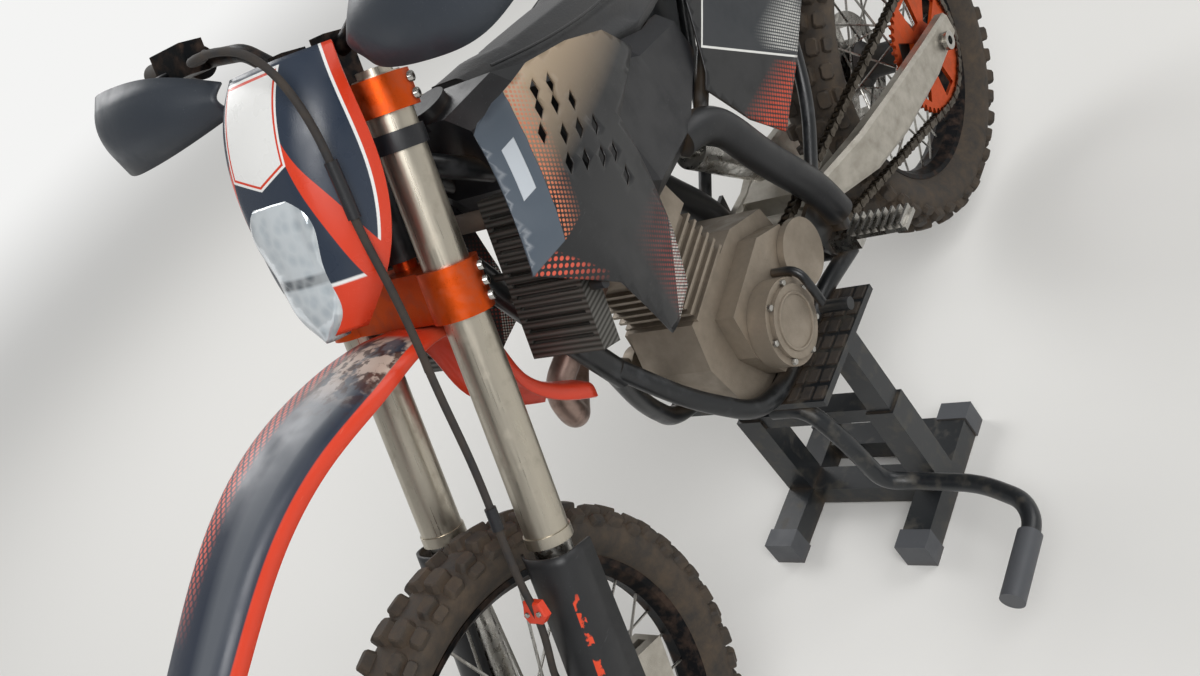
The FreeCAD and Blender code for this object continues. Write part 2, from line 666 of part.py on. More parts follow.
def steering():
    clamp("lower_clamp", "size.lower_clamp_low", "size.lower_clamp_high", "size.outer_tube_radius",
          "size.upper_clamp_low")
    clamp("upper_clamp", "size.upper_clamp_low", "size.upper_clamp_high", "size.outer_tube_radius", None)
    fork_outer_tubes()
    fork_lower_legs()
    fork_guards()
    handlebar()
    grips()
    controls()
    handguards()
    headlight_mask()
    headlight()
    front_fender()
    front_caliper()



# Frame, engine, bodywork and rear end, in the bike frame


def on_axis(level, ahead=0.0):
    """Point of the steering axis, in the bike frame."""
    return (AXIS_X + ahead * math.cos(RAKE) - level * math.sin(RAKE),
            AXIS_Z + ahead * math.sin(RAKE) + level * math.cos(RAKE))


def frame_tubes(grow):
    """Main tubes; a positive grow gives the space that neighbours leave around them."""
    top_x, top_z = on_axis(size("head_high") - 32)
    low_x, low_z = on_axis(size("head_low") + 75)
    half_spar = size("spar_spacing") / 2
    half_cradle = size("cradle_spacing") / 2
    radius = size("frame_tube_radius") + grow
    pivot_x = size("pivot_station")
    pivot_z = size("pivot_height")
    shapes = [tube([(low_x, 0, low_z), (1036, 0, 745), (985, 0, 560)], size("down_tube_radius") + grow)]
    for side in (-1, 1):
        spar = side * half_spar
        cradle = side * half_cradle
        shapes.append(tube([(top_x, side * 12, top_z), (880, side * 60, 835), (655, spar, 722),
                            (pivot_x - 36, spar, pivot_z + 6), (pivot_x - 14, spar, 346)], radius))
        shapes.append(tube([(990, side * 6, 580), (958, side * 44, 470), (905, cradle, 372),
                            (838, cradle, 338), (620, cradle, 338), (pivot_x - 14, spar, 346)], radius))
    return shapes


def frame():
    low_x, low_z = on_axis(size("head_low"))
    high_x, high_z = on_axis(size("head_high"))
    half_spar = size("spar_spacing") / 2
    head = rod(vec(low_x, 0, low_z), vec(high_x, 0, high_z), size("head_radius"))
    tubes = frame_tubes(0)
    cross = [cross_rod(pivot_x, z, size("frame_tube_radius") - 3, -half_spar, half_spar)
             for pivot_x, z in ((640, 702), (548, 346))]
    pivot_x = size("pivot_station")
    pivot_z = size("pivot_height")
    inner = half_spar - size("frame_tube_radius")
    plate = side_plate([(pivot_x - 56, pivot_z + 48), (pivot_x + 30, pivot_z + 36), (pivot_x + 34, pivot_z - 34),
                        (pivot_x + 4, pivot_z - 92), (pivot_x - 30, pivot_z - 60)], inner, inner + 8)
    bolt = cross_rod(pivot_x, pivot_z, size("pivot_bolt_radius"), -inner - 8, inner + 8)
    stem_space = size("stem_radius") + size("bearing_clearance")
    bore = rod(vec(*on_axis_point(size("head_low") - 5)), vec(*on_axis_point(size("head_high") + 5)), stem_space)
    shape = merged([head] + tubes + cross + [plate, mirrored(plate), bolt]).cut(bore)
    return keep("frame", shape, BIKE)


def on_axis_point(level):
    x, z = on_axis(level)
    return (x, 0, z)


def frame_guards():
    """Moulded guards over the spars, one a side."""
    half = size("spar_spacing") / 2 + size("frame_tube_radius") + size("seat_gap")
    outline = [(672, 742), (604, 742), (560, 640), (478, 470), (474, 420), (566, 412), (600, 452), (626, 620)]
    guard = side_plate(outline, half, half + size("panel_thickness"))
    return keep("frame_guards", both_sides(guard), BIKE)


def subframe():
    half = 78
    shapes = []
    for side in (-1, 1):
        shapes.append(tube([(652, side * 100, 728), (520, side * 88, 790), (330, side * half, 826),
                            (60, side * 62, 851)], 11))
        shapes.append(tube([(541, side * 107, 478), (430, side * 106, 560), (364, side * 100, 650),
                            (250, side * 73, 832)], 11))
    shapes.append(cross_rod(70, 850, 9, -62, 62))
    shapes.append(cross_rod(330, 826, 9, -half, half))
    shape = merged(shapes)
    for item in frame_tubes(size("seat_gap")):
        shape = shape.cut(item)
    return keep("subframe", max(shape.Solids, key=lambda solid: solid.Volume), BIKE)


def engine():
    """Crankcase, gearbox, leaning cylinder and head."""
    case = side_plate([(604, 392), (650, 345), (866, 345), (896, 392), (906, 470), (880, 540), (700, 556),
                       (618, 520)], -62, 62)
    left = side_plate([(640, 400), (680, 362), (820, 362), (850, 430), (838, 505), (700, 530), (640, 500)],
                      60, 96)
    right = side_plate([(630, 400), (670, 350), (820, 362), (858, 430), (846, 505), (700, 530), (630, 500)],
                       -112, -60)
    lean = math.radians(10)
    cylinder = Part.makeBox(118, 124, 236, vec(-59, -62, 0))
    ribs = [Part.makeBox(132, 138, 5, vec(-66, -69, 24 + 16 * step)) for step in range(6)]
    head = Part.makeBox(136, 144, 84, vec(-70, -72, 126))
    cover = Part.makeBox(110, 120, 24, vec(-57, -60, 210))
    top = merged([cylinder, head, cover] + ribs)
    top.rotate(vec(0, 0, 0), vec(0, 1, 0), math.degrees(lean))
    top.translate(vec(802, 0, 526))
    recess = cross_rod(size("drive_station"), size("drive_height"), 52, 68, 200)
    shaft = cross_rod(size("drive_station"), size("drive_height"), 8 - size("seat_gap"), 60, 88)
    block = merged([merged([case, left, right, top]).cut(recess), shaft])
    gap = size("seat_gap")
    for item in frame_tubes(gap):
        block = block.cut(item)
    return keep("engine", block, BIKE)


def engine_covers():
    """Ignition and clutch covers with the water pump and drive cover."""
    gap = size("seat_gap")
    ignition = cross_rod(780, 426, 67, 96 + gap, 130)
    ignition = merged([ignition, cross_rod(780, 426, 56, 125, 137)])
    drive = cross_rod(size("drive_station") + 4, size("drive_height"), 55, 96 + gap, 108)
    clutch = merged([cross_rod(700, 440, 74, -134, -112 - gap), cross_rod(700, 440, 60, -142, -130)])
    pump = merged([cross_rod(850, 440, 34, -134, -112 - gap), rod(vec(850, -126, 440), vec(900, -126, 500), 13)])
    return keep("engine_covers", Part.makeCompound([ignition, drive, merged([clutch, pump])]), BIKE)


def exhaust_header():
    route = [(893.6, -26, 662), (962, -26, 650), (1044, -64, 606), (1046, -70, 545), (985, -120, 528),
             (880, -152, 566), (720, -164, 603), (556.7, -180.7, 645.2), (450, -182, 672)]
    return keep("exhaust_header", tube(route, 20), BIKE)


def silencer():
    """Canister with a tapered front cone and a short outlet."""
    start = vec(450, -182, 672)
    along = (vec(-60, -188, 800) - start)
    length = along.Length
    along.normalize()
    gap = size("seat_gap")
    cone = Part.makeCone(23, 52, 90, start + along * gap, along)
    can = Part.makeCylinder(52, length - 134, start + along * (90 + gap), along)
    tail = Part.makeCone(52, 30, 44, start + along * (length - 44), along)
    bore = Part.makeCylinder(16, 90, start + along * (length - 80), along)
    stay = rod(vec(98, -70, 836), vec(98, -145, 798), 5)
    rail = rod(vec(330, -78, 826), vec(60, -62, 851), 11 + gap)
    shape = merged([cone, can, tail, stay.cut(rail)]).cut(bore)
    return keep("silencer", max(shape.Solids, key=lambda solid: solid.Volume), BIKE)


def radiators():
    """Two cores with header tanks, ahead of the tank on either side of the frame."""
    near = size("radiator_inner")
    width = size("radiator_width")
    box = Part.makeBox(32, width, 210, vec(-16, near, -105))
    slots = [Part.makeBox(10, width - 16, 5, vec(10, near + 8, -86 + 15 * step)) for step in range(12)]
    core = box.cut(Part.makeCompound(slots))
    core.rotate(vec(0, 0, 0), vec(0, 1, 0), -size("rake_degrees"))
    core.translate(vec(1052, 0, 826))
    stay = size("down_tube_radius") + size("seat_gap")
    stays = [cross_rod(x, z, 5, stay, near + 4) for x, z in ((1056, 792), (1052, 830))]
    return keep("radiators", both_sides(merged([core] + stays)), BIKE)


def radiator_hose():
    face = size("radiator_inner") - size("seat_gap")
    return keep("radiator_hose", cross_rod(1014, 896, 13, -face, face), BIKE)


def fuel_tank():
    # columns: X, half width, lowest Z, highest Z, corner
    stations = [(590, 108, 780, 872, 20), (700, 118, 720, 905, 28), (830, 138, 728, 985, 34),
                (910, 130, 800, 1030, 36), (972, 70, 905, 1022, 26)]
    body = loft([rounded_section(*row) for row in stations])
    gap = size("seat_gap")
    tunnel = Part.makeBox(400, 156, 400, vec(600, -78, 388))
    body = body.cut(tunnel)
    for item in frame_tubes(gap):
        body = body.cut(item)
    for item in seat_solid(gap):
        body = body.cut(item)
    cap = Part.makeCylinder(30, 26, vec(944, 0, 1012))
    return keep("fuel_tank", merged([body, cap]), BIKE)


def seat_solid(grow):
    # columns: X, half width, lowest Z, highest Z, corner
    stations = [(-20, 96, 870.4, 916, 16), (150, 110, 872, 944, 22), (420, 112, 872, 962, 26),
                (640, 104, 866, 968, 28), (800, 74, 920, 1002, 24), (902, 42, 992, 1040, 16)]
    sections = [rounded_section(x, half + grow, low - grow, high + grow, corner)
                for x, half, low, high, corner in stations]
    return [loft(sections)]


def seat():
    return keep("seat", seat_solid(0)[0], BIKE)


def shroud_skin(stations):
    """Curved sheet on the left side; each station is an X with its levels and offsets."""
    wall = size("panel_thickness")
    sections = []
    for x, rows in stations:
        outer = [(x, y, z) for y, z in rows]
        inner = [(x, y - wall, z) for y, z in reversed(rows)]
        sections.append(outer + inner)
    return loft(sections)


def shrouds():
    # columns: X, then Y and Z of four points up the sheet
    stations = [
        (700, [(120, 600), (128, 720), (134, 860), (120, 1060)]),
        (830, [(140, 600), (158, 720), (170, 880), (138, 1060)]),
        (930, [(150, 600), (172, 720), (188, 880), (152, 1060)]),
        (1040, [(166, 600), (192, 740), (200, 880), (150, 1060)]),
        (1150, [(180, 600), (202, 740), (202, 880), (168, 1060)])]
    outline = [(918, 1030), (990, 1030), (1140, 900), (1050, 790), (990, 640), (930, 660), (900, 730),
               (860, 890), (720, 908), (760, 960)]
    sheet_part = shroud_skin(stations)
    cutter = side_plate(outline, 60, 260)
    left = sheet_part.common(cutter)
    for index, row in enumerate(((940, 960), (985, 948), (935, 915), (985, 905), (1020, 880), (930, 862),
                                 (975, 850), (1015, 835))):
        x, z = row
        hole = side_plate([(x - 7, z - 16), (x + 8, z - 6), (x + 7, z + 16), (x - 8, z + 6)], 60, 260)
        left = left.cut(hole)
    bosses = [cross_rod(x, z, 7, size("radiator_inner") + size("radiator_width") + size("seat_gap"), y) for x, z, y in ((1062, 800, 195), (1010, 905, 193))]
    left = merged([left] + bosses)
    keep("shroud_left", left, BIKE)
    return keep("shroud_right", mirrored(left), BIKE)


def side_panels():
    """Covers under the seat with the number fields."""
    # columns: X, then Y and Z of three points up the sheet
    stations = [(120, [(118, 640), (122, 760), (116, 900)]), (420, [(124, 540), (128, 700), (118, 900)]),
                (640, [(112, 540), (120, 700), (120, 900)])]
    outline = [(560, 864), (612, 765), (640, 742), (520, 570), (420, 640), (330, 690), (150, 800), (170, 862)]
    left = shroud_skin(stations).common(side_plate(outline, 60, 260))
    keep("side_panel_left", left, BIKE)
    return keep("side_panel_right", mirrored(left), BIKE)


def rear_fender():
    # columns: X, half width, underside at the middle, drop at the sides
    stations = [(420, 92, 866, 20), (150, 92, 862, 30), (-60, 88, 872, 34), (-230, 76, 892, 26),
                (-392, 58, 900, 12)]
    wall = size("panel_thickness")
    sections = []
    for x, half, low, drop in stations:
        rows = [(half, low - drop), (half * 0.8, low), (-half * 0.8, low), (-half, low - drop),
                (wall - half, low - drop), (-half * 0.8, low - wall), (half * 0.8, low - wall),
                (half - wall, low - drop)]
        sections.append([(x, y, z) for y, z in rows])
    return keep("rear_fender", loft(sections), BIKE)


def tail_light():
    body = Part.makeBox(26, 80, 26, vec(-392, -40, 868.4))
    return keep("tail_light", body, BIKE)


def swingarm():
    """Two tapering arms joined ahead of the tyre, with a pivot barrel and axle blocks."""
    inner = size("arm_inner")
    thick = size("arm_thickness")
    axle_z = size("rear_axle_height")
    outer = inner + thick
    # columns: X, inner Y, outer Y, lowest Z, highest Z
    stations = [(size("pivot_station") - 10, 64, 88, 402, 450), (470, 64, 88, 394, 448),
                (370, inner - 3, outer, 362, 440), (245, inner, outer, 332, 416),
                (60, inner, outer, axle_z - 26, axle_z + 46), (-54, inner, outer, axle_z - 24, axle_z + 28)]
    sections = []
    for x, near, far, low, high in stations:
        rows = [(near + 5, low), (far - 5, low), (far, low + 8), (far, high - 8), (far - 5, high),
                (near + 5, high), (near, high - 8), (near, low + 8)]
        sections.append([(x, y, z) for y, z in rows])
    arm = loft(sections)
    arm = arm.cut(cross_rod(0, axle_z, size("rear_axle_radius"), inner - 5, outer + 5))
    bridge = Part.makeBox(100, 2 * 70, 40, vec(400, -70, 406))
    barrel = cross_rod(size("pivot_station"), size("pivot_height"), size("pivot_radius"), -90, 90)
    shape = merged([arm, mirrored(arm), bridge, barrel])
    bolt_space = size("pivot_bolt_radius") + size("bearing_clearance")
    shape = shape.cut(cross_rod(size("pivot_station"), size("pivot_height"), bolt_space, -200, 200))
    return keep("swingarm", shape, BIKE)


def shock():
    """Damper with its spring, from the swingarm bridge to the frame's top cross tube."""
    low = vec(424, -30, 455)
    high = vec(624, -20, 684)
    along = (high - low).normalize()
    body = [rod(low, high, 14), rod(low + along * 40, low + along * 230, 31), cross_rod(640, 702, 21, -36, -4)]
    space = size("frame_tube_radius") - 3 + size("seat_gap")
    return keep("shock", merged(body).cut(cross_rod(640, 702, space, -60, 60)), BIKE)


def chain():
    """Both runs of the chain and the wraps round the two sprockets."""
    pitch = size("chain_pitch")
    rear = pitch / 2 / math.sin(math.pi / size("rear_teeth"))
    front = pitch / 2 / math.sin(math.pi / size("front_teeth"))
    start = vec(0, size("chain_offset"), size("rear_axle_height"))
    end = vec(size("drive_station"), size("chain_offset"), size("drive_height"))
    between = end - start
    distance = between.Length
    tilt = math.atan2(between.z, between.x)
    spread = math.asin((rear - front) / distance)
    half = 6.5

    def loop(grow):
        """Outline round both sprockets, grown from the pitch line."""
        edges = []
        tangents = []
        for side in (1, -1):
            normal = tilt + side * (math.pi / 2 - spread)
            away = vec(math.cos(normal), 0, math.sin(normal))
            tangents.append((start + away * (rear + grow), end + away * (front + grow)))
        (rear_up, front_up), (rear_low, front_low) = tangents
        back = vec(-math.cos(tilt), 0, -math.sin(tilt))
        edges.append(Part.LineSegment(rear_up, front_up).toShape())
        edges.append(Part.Arc(front_up, end - back * (front + grow), front_low).toShape())
        edges.append(Part.LineSegment(front_low, rear_low).toShape())
        edges.append(Part.Arc(rear_low, start + back * (rear + grow), rear_up).toShape())
        return Part.Face(Part.Wire(edges))

    ring = loop(half).cut(loop(-half))
    plate = 1.5
    reach = size("chain_width") / 2
    strands = []
    for low in (-reach, reach - plate):
        side_ring = ring.extrude(vec(0, plate, 0))
        side_ring.translate(vec(0, low, 0))
        strands.append(side_ring)
    for side in (1, -1):
        normal = tilt + side * (math.pi / 2 - spread)
        away = vec(math.cos(normal), 0, math.sin(normal))
        first = start + away * rear
        run = end + away * front - first
        links = int(run.Length / pitch)
        for step in range(4, links - 1):
            pin = first + run * (step * pitch / run.Length)
            strands.append(rod(pin - vec(0, reach, 0), pin + vec(0, reach, 0), 3.5))
    teeth = int(size("front_teeth"))
    for tooth in range(teeth):
        angle = 2 * math.pi * tooth / teeth
        if math.cos(angle - tilt) > 0.3:
            seat_point = end + vec(math.cos(angle), 0, math.sin(angle)) * front
            strands.append(rod(seat_point - vec(0, reach, 0), seat_point + vec(0, reach, 0),
                               size("roller_radius") - 0.4))
    return keep("chain", merged(strands), BIKE)


def front_sprocket():
    shape = toothed_wheel(int(size("front_teeth")), size("chain_pitch"), size("sprocket_thickness"), 8)
    shape.translate(vec(size("drive_station"), size("chain_offset"), size("drive_height")))
    return keep("front_sprocket", shape, BIKE)


def rear_caliper():
    offset = size("rear_disc_offset")
    axle_z = size("rear_axle_height")
    body = Part.makeBox(70, 34, 44, vec(40, -offset - 17, axle_z + 74))
    slot = Part.makeBox(110, size("disc_thickness") + 10, 60,
                        vec(20, -offset - size("disc_thickness") / 2 - 5, axle_z + 60))
    top = Part.makeBox(70, 34, 12, vec(40, -offset - 17, axle_z + 114))
    outer = -offset - size("disc_thickness") / 2 - 5
    hanger = side_plate([(-20, axle_z - 8), (0, axle_z - 22), (22, axle_z - 16), (112, axle_z + 74),
                         (112, axle_z + 118), (40, axle_z + 118), (-18, axle_z + 16)],
                        size("seat_gap") - size("arm_inner"), outer)
    hanger = hanger.cut(cross_rod(0, axle_z, size("rear_axle_radius"), -200, 0))
    return keep("rear_brake_caliper", merged([body.cut(slot), top, hanger]), BIKE)


def footpegs():
    peg = Part.makeBox(44, 104, 8, vec(536, 141, 392))
    teeth = [Part.makeBox(44, 4, 10, vec(536, 146 + 13 * step, 400)) for step in range(8)]
    plate = size("spar_spacing") / 2 - size("frame_tube_radius") + 8 + size("seat_gap")
    arm = Part.makeBox(22, 150 - plate, 26, vec(551, plate, 366))
    side = merged([peg, arm] + teeth)
    return keep("footpegs", both_sides(side), BIKE)


def shift_lever():
    lever = tube([(716, 96.3, 470), (716, 140, 470), (724, 150, 430), (726, 152, 398)], 7)
    tip = cross_rod(726, 396, 10, 146, 196)
    return keep("shift_lever", merged([lever, tip]), BIKE)


def brake_pedal():
    pedal = tube([(672, -118, 350), (696, -146, 350), (735, -156, 376), (772, -158, 400)], 8)
    tip = cross_rod(776, 402, 10, -196, -150)
    seat_y = size("cradle_spacing") / 2 + size("frame_tube_radius") + size("seat_gap")
    hub_part = cross_rod(672, 337, 12, -128, -seat_y)
    return keep("brake_pedal", merged([pedal, tip, hub_part]), BIKE)


# Stand, measured from the floor


def stand():
    tube_side = size("stand_tube")
    track = size("stand_track") / 2
    centre = size("stand_station")
    half = size("stand_length") / 2
    top = size("wheel_lift") + 338 - size("frame_tube_radius") - size("seat_gap")
    rails = [Part.makeBox(2 * half, tube_side, tube_side - 4,
                          vec(centre - half, side * track - tube_side / 2, 2)) for side in (-1, 1)]
    cross = [Part.makeBox(tube_side, 2 * track, tube_side - 10, vec(x - tube_side / 2, -track, 5))
             for x in (centre, centre - 100)]
    base = merged(rails + cross)
    keep("stand_base", base, FLOOR)
    caps = []
    for side in (-1, 1):
        for end, low in ((centre - half - 2, -1), (centre + half - size("cap_length") + 2, 1)):
            cap = Part.makeBox(size("cap_length"), tube_side + 6, tube_side + 1,
                               vec(end, side * track - tube_side / 2 - 3, 0))
            caps.append(cap.cut(base))
    keep("stand_caps", Part.makeCompound(caps), FLOOR)
    posts = []
    for side in (-1, 1):
        outer = Part.makeBox(tube_side, tube_side, 190, vec(centre - tube_side / 2, side * track - tube_side / 2,
                                                            tube_side - 2))
        inner = Part.makeBox(size("stand_post"), size("stand_post"), top - size("platform_depth") - 236,
                             vec(centre - size("stand_post") / 2, side * track - size("stand_post") / 2, 236))
        posts.extend([outer, inner])
    posts.append(Part.makeBox(tube_side - 10, 2 * track, 30, vec(centre - 20, -track, 215)))
    keep("stand_posts", merged(posts), FLOOR)
    width = size("platform_width")
    length = size("platform_length")
    deck = Part.makeBox(length, width, size("platform_depth"),
                        vec(centre + 10 - length / 2, -width / 2, top - size("platform_depth")))
    keep("stand_platform", deck, FLOOR)
    radius = size("lever_radius")
    under = top - size("platform_depth") - size("seat_gap") - radius
    route = [(838, 40, under), (838, 100, under), (846, 132, under - 66), (846, 148, 196), (830, 190, 172),
             (836, 298, 170), (868, 372, 170), (905, 396, 170), (1034, 396, 170)]
    keep("stand_lever", tube(route, radius), FLOOR)
    handle = rod(vec(927, 396, 170), vec(1038, 396, 170), radius + 4)
    return keep("stand_grip", handle.cut(rod(vec(920, 396, 170), vec(1034, 396, 170), radius)), FLOOR)


def rest():
    for piece in (frame, frame_guards, subframe, engine, engine_covers, exhaust_header, silencer, radiators,
                  radiator_hose, fuel_tank, seat, shrouds, side_panels, rear_fender, tail_light, swingarm, shock,
                  chain, front_sprocket, rear_caliper, footpegs, shift_lever, brake_pedal, stand):
        piece()


# Build, check and write


def write_parts():
    doc.recompute()
    broken = [item.Label for item in doc.Objects if "Invalid" in item.State or "Error" in item.State]
    for item in PARTS:
        if item.Shape.isNull() or not item.Shape.isValid():
            broken.append(item.Label)
    if broken:
        raise RuntimeError("failed: " + ", ".join(broken))
    os.makedirs("parts", exist_ok=True)
    for item in PARTS:
        item.Shape.exportStep("parts/%s.step" % item.Label)
        print(item.Label, len(item.Shape.Solids), round(item.Shape.Volume / 1000))


wheels()
steering()
rest()
write_parts()
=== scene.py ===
import json
import math

import bpy
import numpy as np
from mathutils import Matrix, Vector
from mathutils.geometry import delaunay_2d_cdt


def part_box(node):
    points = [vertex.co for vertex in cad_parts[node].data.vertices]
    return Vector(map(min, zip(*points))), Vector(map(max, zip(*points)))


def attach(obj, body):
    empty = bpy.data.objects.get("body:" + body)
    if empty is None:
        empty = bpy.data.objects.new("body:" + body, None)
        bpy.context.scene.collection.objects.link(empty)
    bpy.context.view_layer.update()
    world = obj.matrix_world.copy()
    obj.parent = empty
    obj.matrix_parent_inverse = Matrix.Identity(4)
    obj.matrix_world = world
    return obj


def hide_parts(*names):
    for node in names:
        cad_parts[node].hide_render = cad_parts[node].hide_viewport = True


bl_info = {
    "name": "Enduro motorcycle on a stand",
    "version": (1, 0, 0),
    "blender": (4, 5, 0),
    "location": "View3D > Sidebar > Motorcycle",
    "description": "Finishes the packed motorcycle: knobbly tyres, seat, chain, plastics and metals",
    "category": "Object",
}

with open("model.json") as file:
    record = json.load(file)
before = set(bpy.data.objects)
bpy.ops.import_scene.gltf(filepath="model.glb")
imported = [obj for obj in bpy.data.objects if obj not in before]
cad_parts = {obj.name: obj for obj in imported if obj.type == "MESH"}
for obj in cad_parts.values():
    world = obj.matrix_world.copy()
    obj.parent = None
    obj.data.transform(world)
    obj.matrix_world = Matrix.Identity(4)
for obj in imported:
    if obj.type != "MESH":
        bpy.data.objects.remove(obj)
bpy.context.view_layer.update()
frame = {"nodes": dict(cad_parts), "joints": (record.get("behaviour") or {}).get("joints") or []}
NODES = frame["nodes"]
JOINTS = {joint["name"]: joint for joint in frame["joints"]}
FRONT_AXLE = np.array(JOINTS["front_wheel_spin"]["pos_m"])
REAR_AXLE = np.array(JOINTS["rear_wheel_spin"]["pos_m"])
# Bike coordinates: ahead of the rear axle, to the rider's left, up from the underside of the tyres
REAR_AXLE_LEVEL = 0.338
LIFT = REAR_AXLE[2] - REAR_AXLE_LEVEL
# Steering coordinates: ahead of the steering axis, to the rider's left, up along the axis from its foot
HEAD_LEVEL = 0.760
LEFT = np.array([0.0, 1.0, 0.0])
AXIS_UP = np.array(JOINTS["steering_head"]["axis"])
AXIS_AHEAD = np.array([AXIS_UP[2], 0.0, -AXIS_UP[0]])
AXIS_FOOT = np.array(JOINTS["steering_head"]["pos_m"]) - HEAD_LEVEL * AXIS_UP
STEERING_AXES = np.array([AXIS_AHEAD, LEFT, AXIS_UP])
# Middle of a fork leg in steering coordinates, mm: from the middle plane and ahead of the axis
FORK_SPACING, FORK_LEAD = 97.5, 22
SIDES = {"left": 1, "right": -1}


# Sizes and colours that a user would change


class MotorcycleColours(bpy.types.PropertyGroup):
    """The colours of the bike's finishes, as sRGB hex codes."""

    orange: bpy.props.StringProperty(
        name="Orange plastic", description="Moulded orange of the guards and of the front mask",
        default="#CF3A1C")
    anodised: bpy.props.StringProperty(
        name="Anodised orange", description="Fork clamps, rear sprocket and small hardware",
        default="#CC501C")
    black: bpy.props.StringProperty(
        name="Black plastic", description="Moulded black of the tank and the rear fender",
        default="#15161A")
    stanchion: bpy.props.StringProperty(
        name="Fork tubes", description="Hard-anodised champagne of the outer fork tubes",
        default="#B9B2A4")
    engine: bpy.props.StringProperty(
        name="Engine cases", description="Painted bronze-grey of the cast engine cases",
        default="#978C7E")
    alloy: bpy.props.StringProperty(
        name="Cast alloy", description="Bare aluminium of the swingarm and the brake calipers",
        default="#B8B3A9")
    rubber: bpy.props.StringProperty(
        name="Tyre rubber", description="Black rubber under the dust of the road",
        default="#1F1E1D")
    dust: bpy.props.StringProperty(
        name="Dust", description="Dry earth that sits in hollows and on the tyres",
        default="#7A6650")
    white: bpy.props.StringProperty(
        name="White film", description="Blank number plate and white lines",
        default="#E4E4E2")
    seat: bpy.props.StringProperty(
        name="Seat cover", description="Dark grey grip vinyl of the seat", default="#2C2D2F")


class MotorcycleSizes(bpy.types.PropertyGroup):
    """Sizes of the pieces that are made here."""

    front_knob: bpy.props.FloatProperty(
        name="Front knob height", description="Height of the front tyre's tread blocks",
        default=0.013, unit="LENGTH")
    rear_knob: bpy.props.FloatProperty(
        name="Rear knob height", description="Height of the rear tyre's tread blocks",
        default=0.015, unit="LENGTH")
    seat_swell: bpy.props.FloatProperty(
        name="Seat swell", description="How far the cover is drawn in before the foam pushes it out",
        default=0.006, unit="LENGTH")


# Materials


# Filled from the scene's own colours when the finishes are made, and with every finish by its name
COLOURS = {}
FINISHES = {}
PALE_SCUFF = "#E8997E"


def linear(code):
    """An sRGB hex code as the linear colour that Blender works in."""
    values = [int(code[i:i + 2], 16) / 255 for i in (1, 3, 5)]
    return [v / 12.92 if v <= 0.04045 else ((v + 0.055) / 1.055) ** 2.4 for v in values] + [1.0]


def add_node(tree, kind, sockets=(), **settings):
    """Adds a node. A socket's value is a number, a colour or another node's output, which is linked."""
    node = tree.nodes.new(kind)
    for name, value in settings.items():
        setattr(node, name, value)
    for key, value in dict(sockets).items():
        if isinstance(value, bpy.types.NodeSocket):
            tree.links.new(value, node.inputs[key])
        else:
            node.inputs[key].default_value = value
    return node


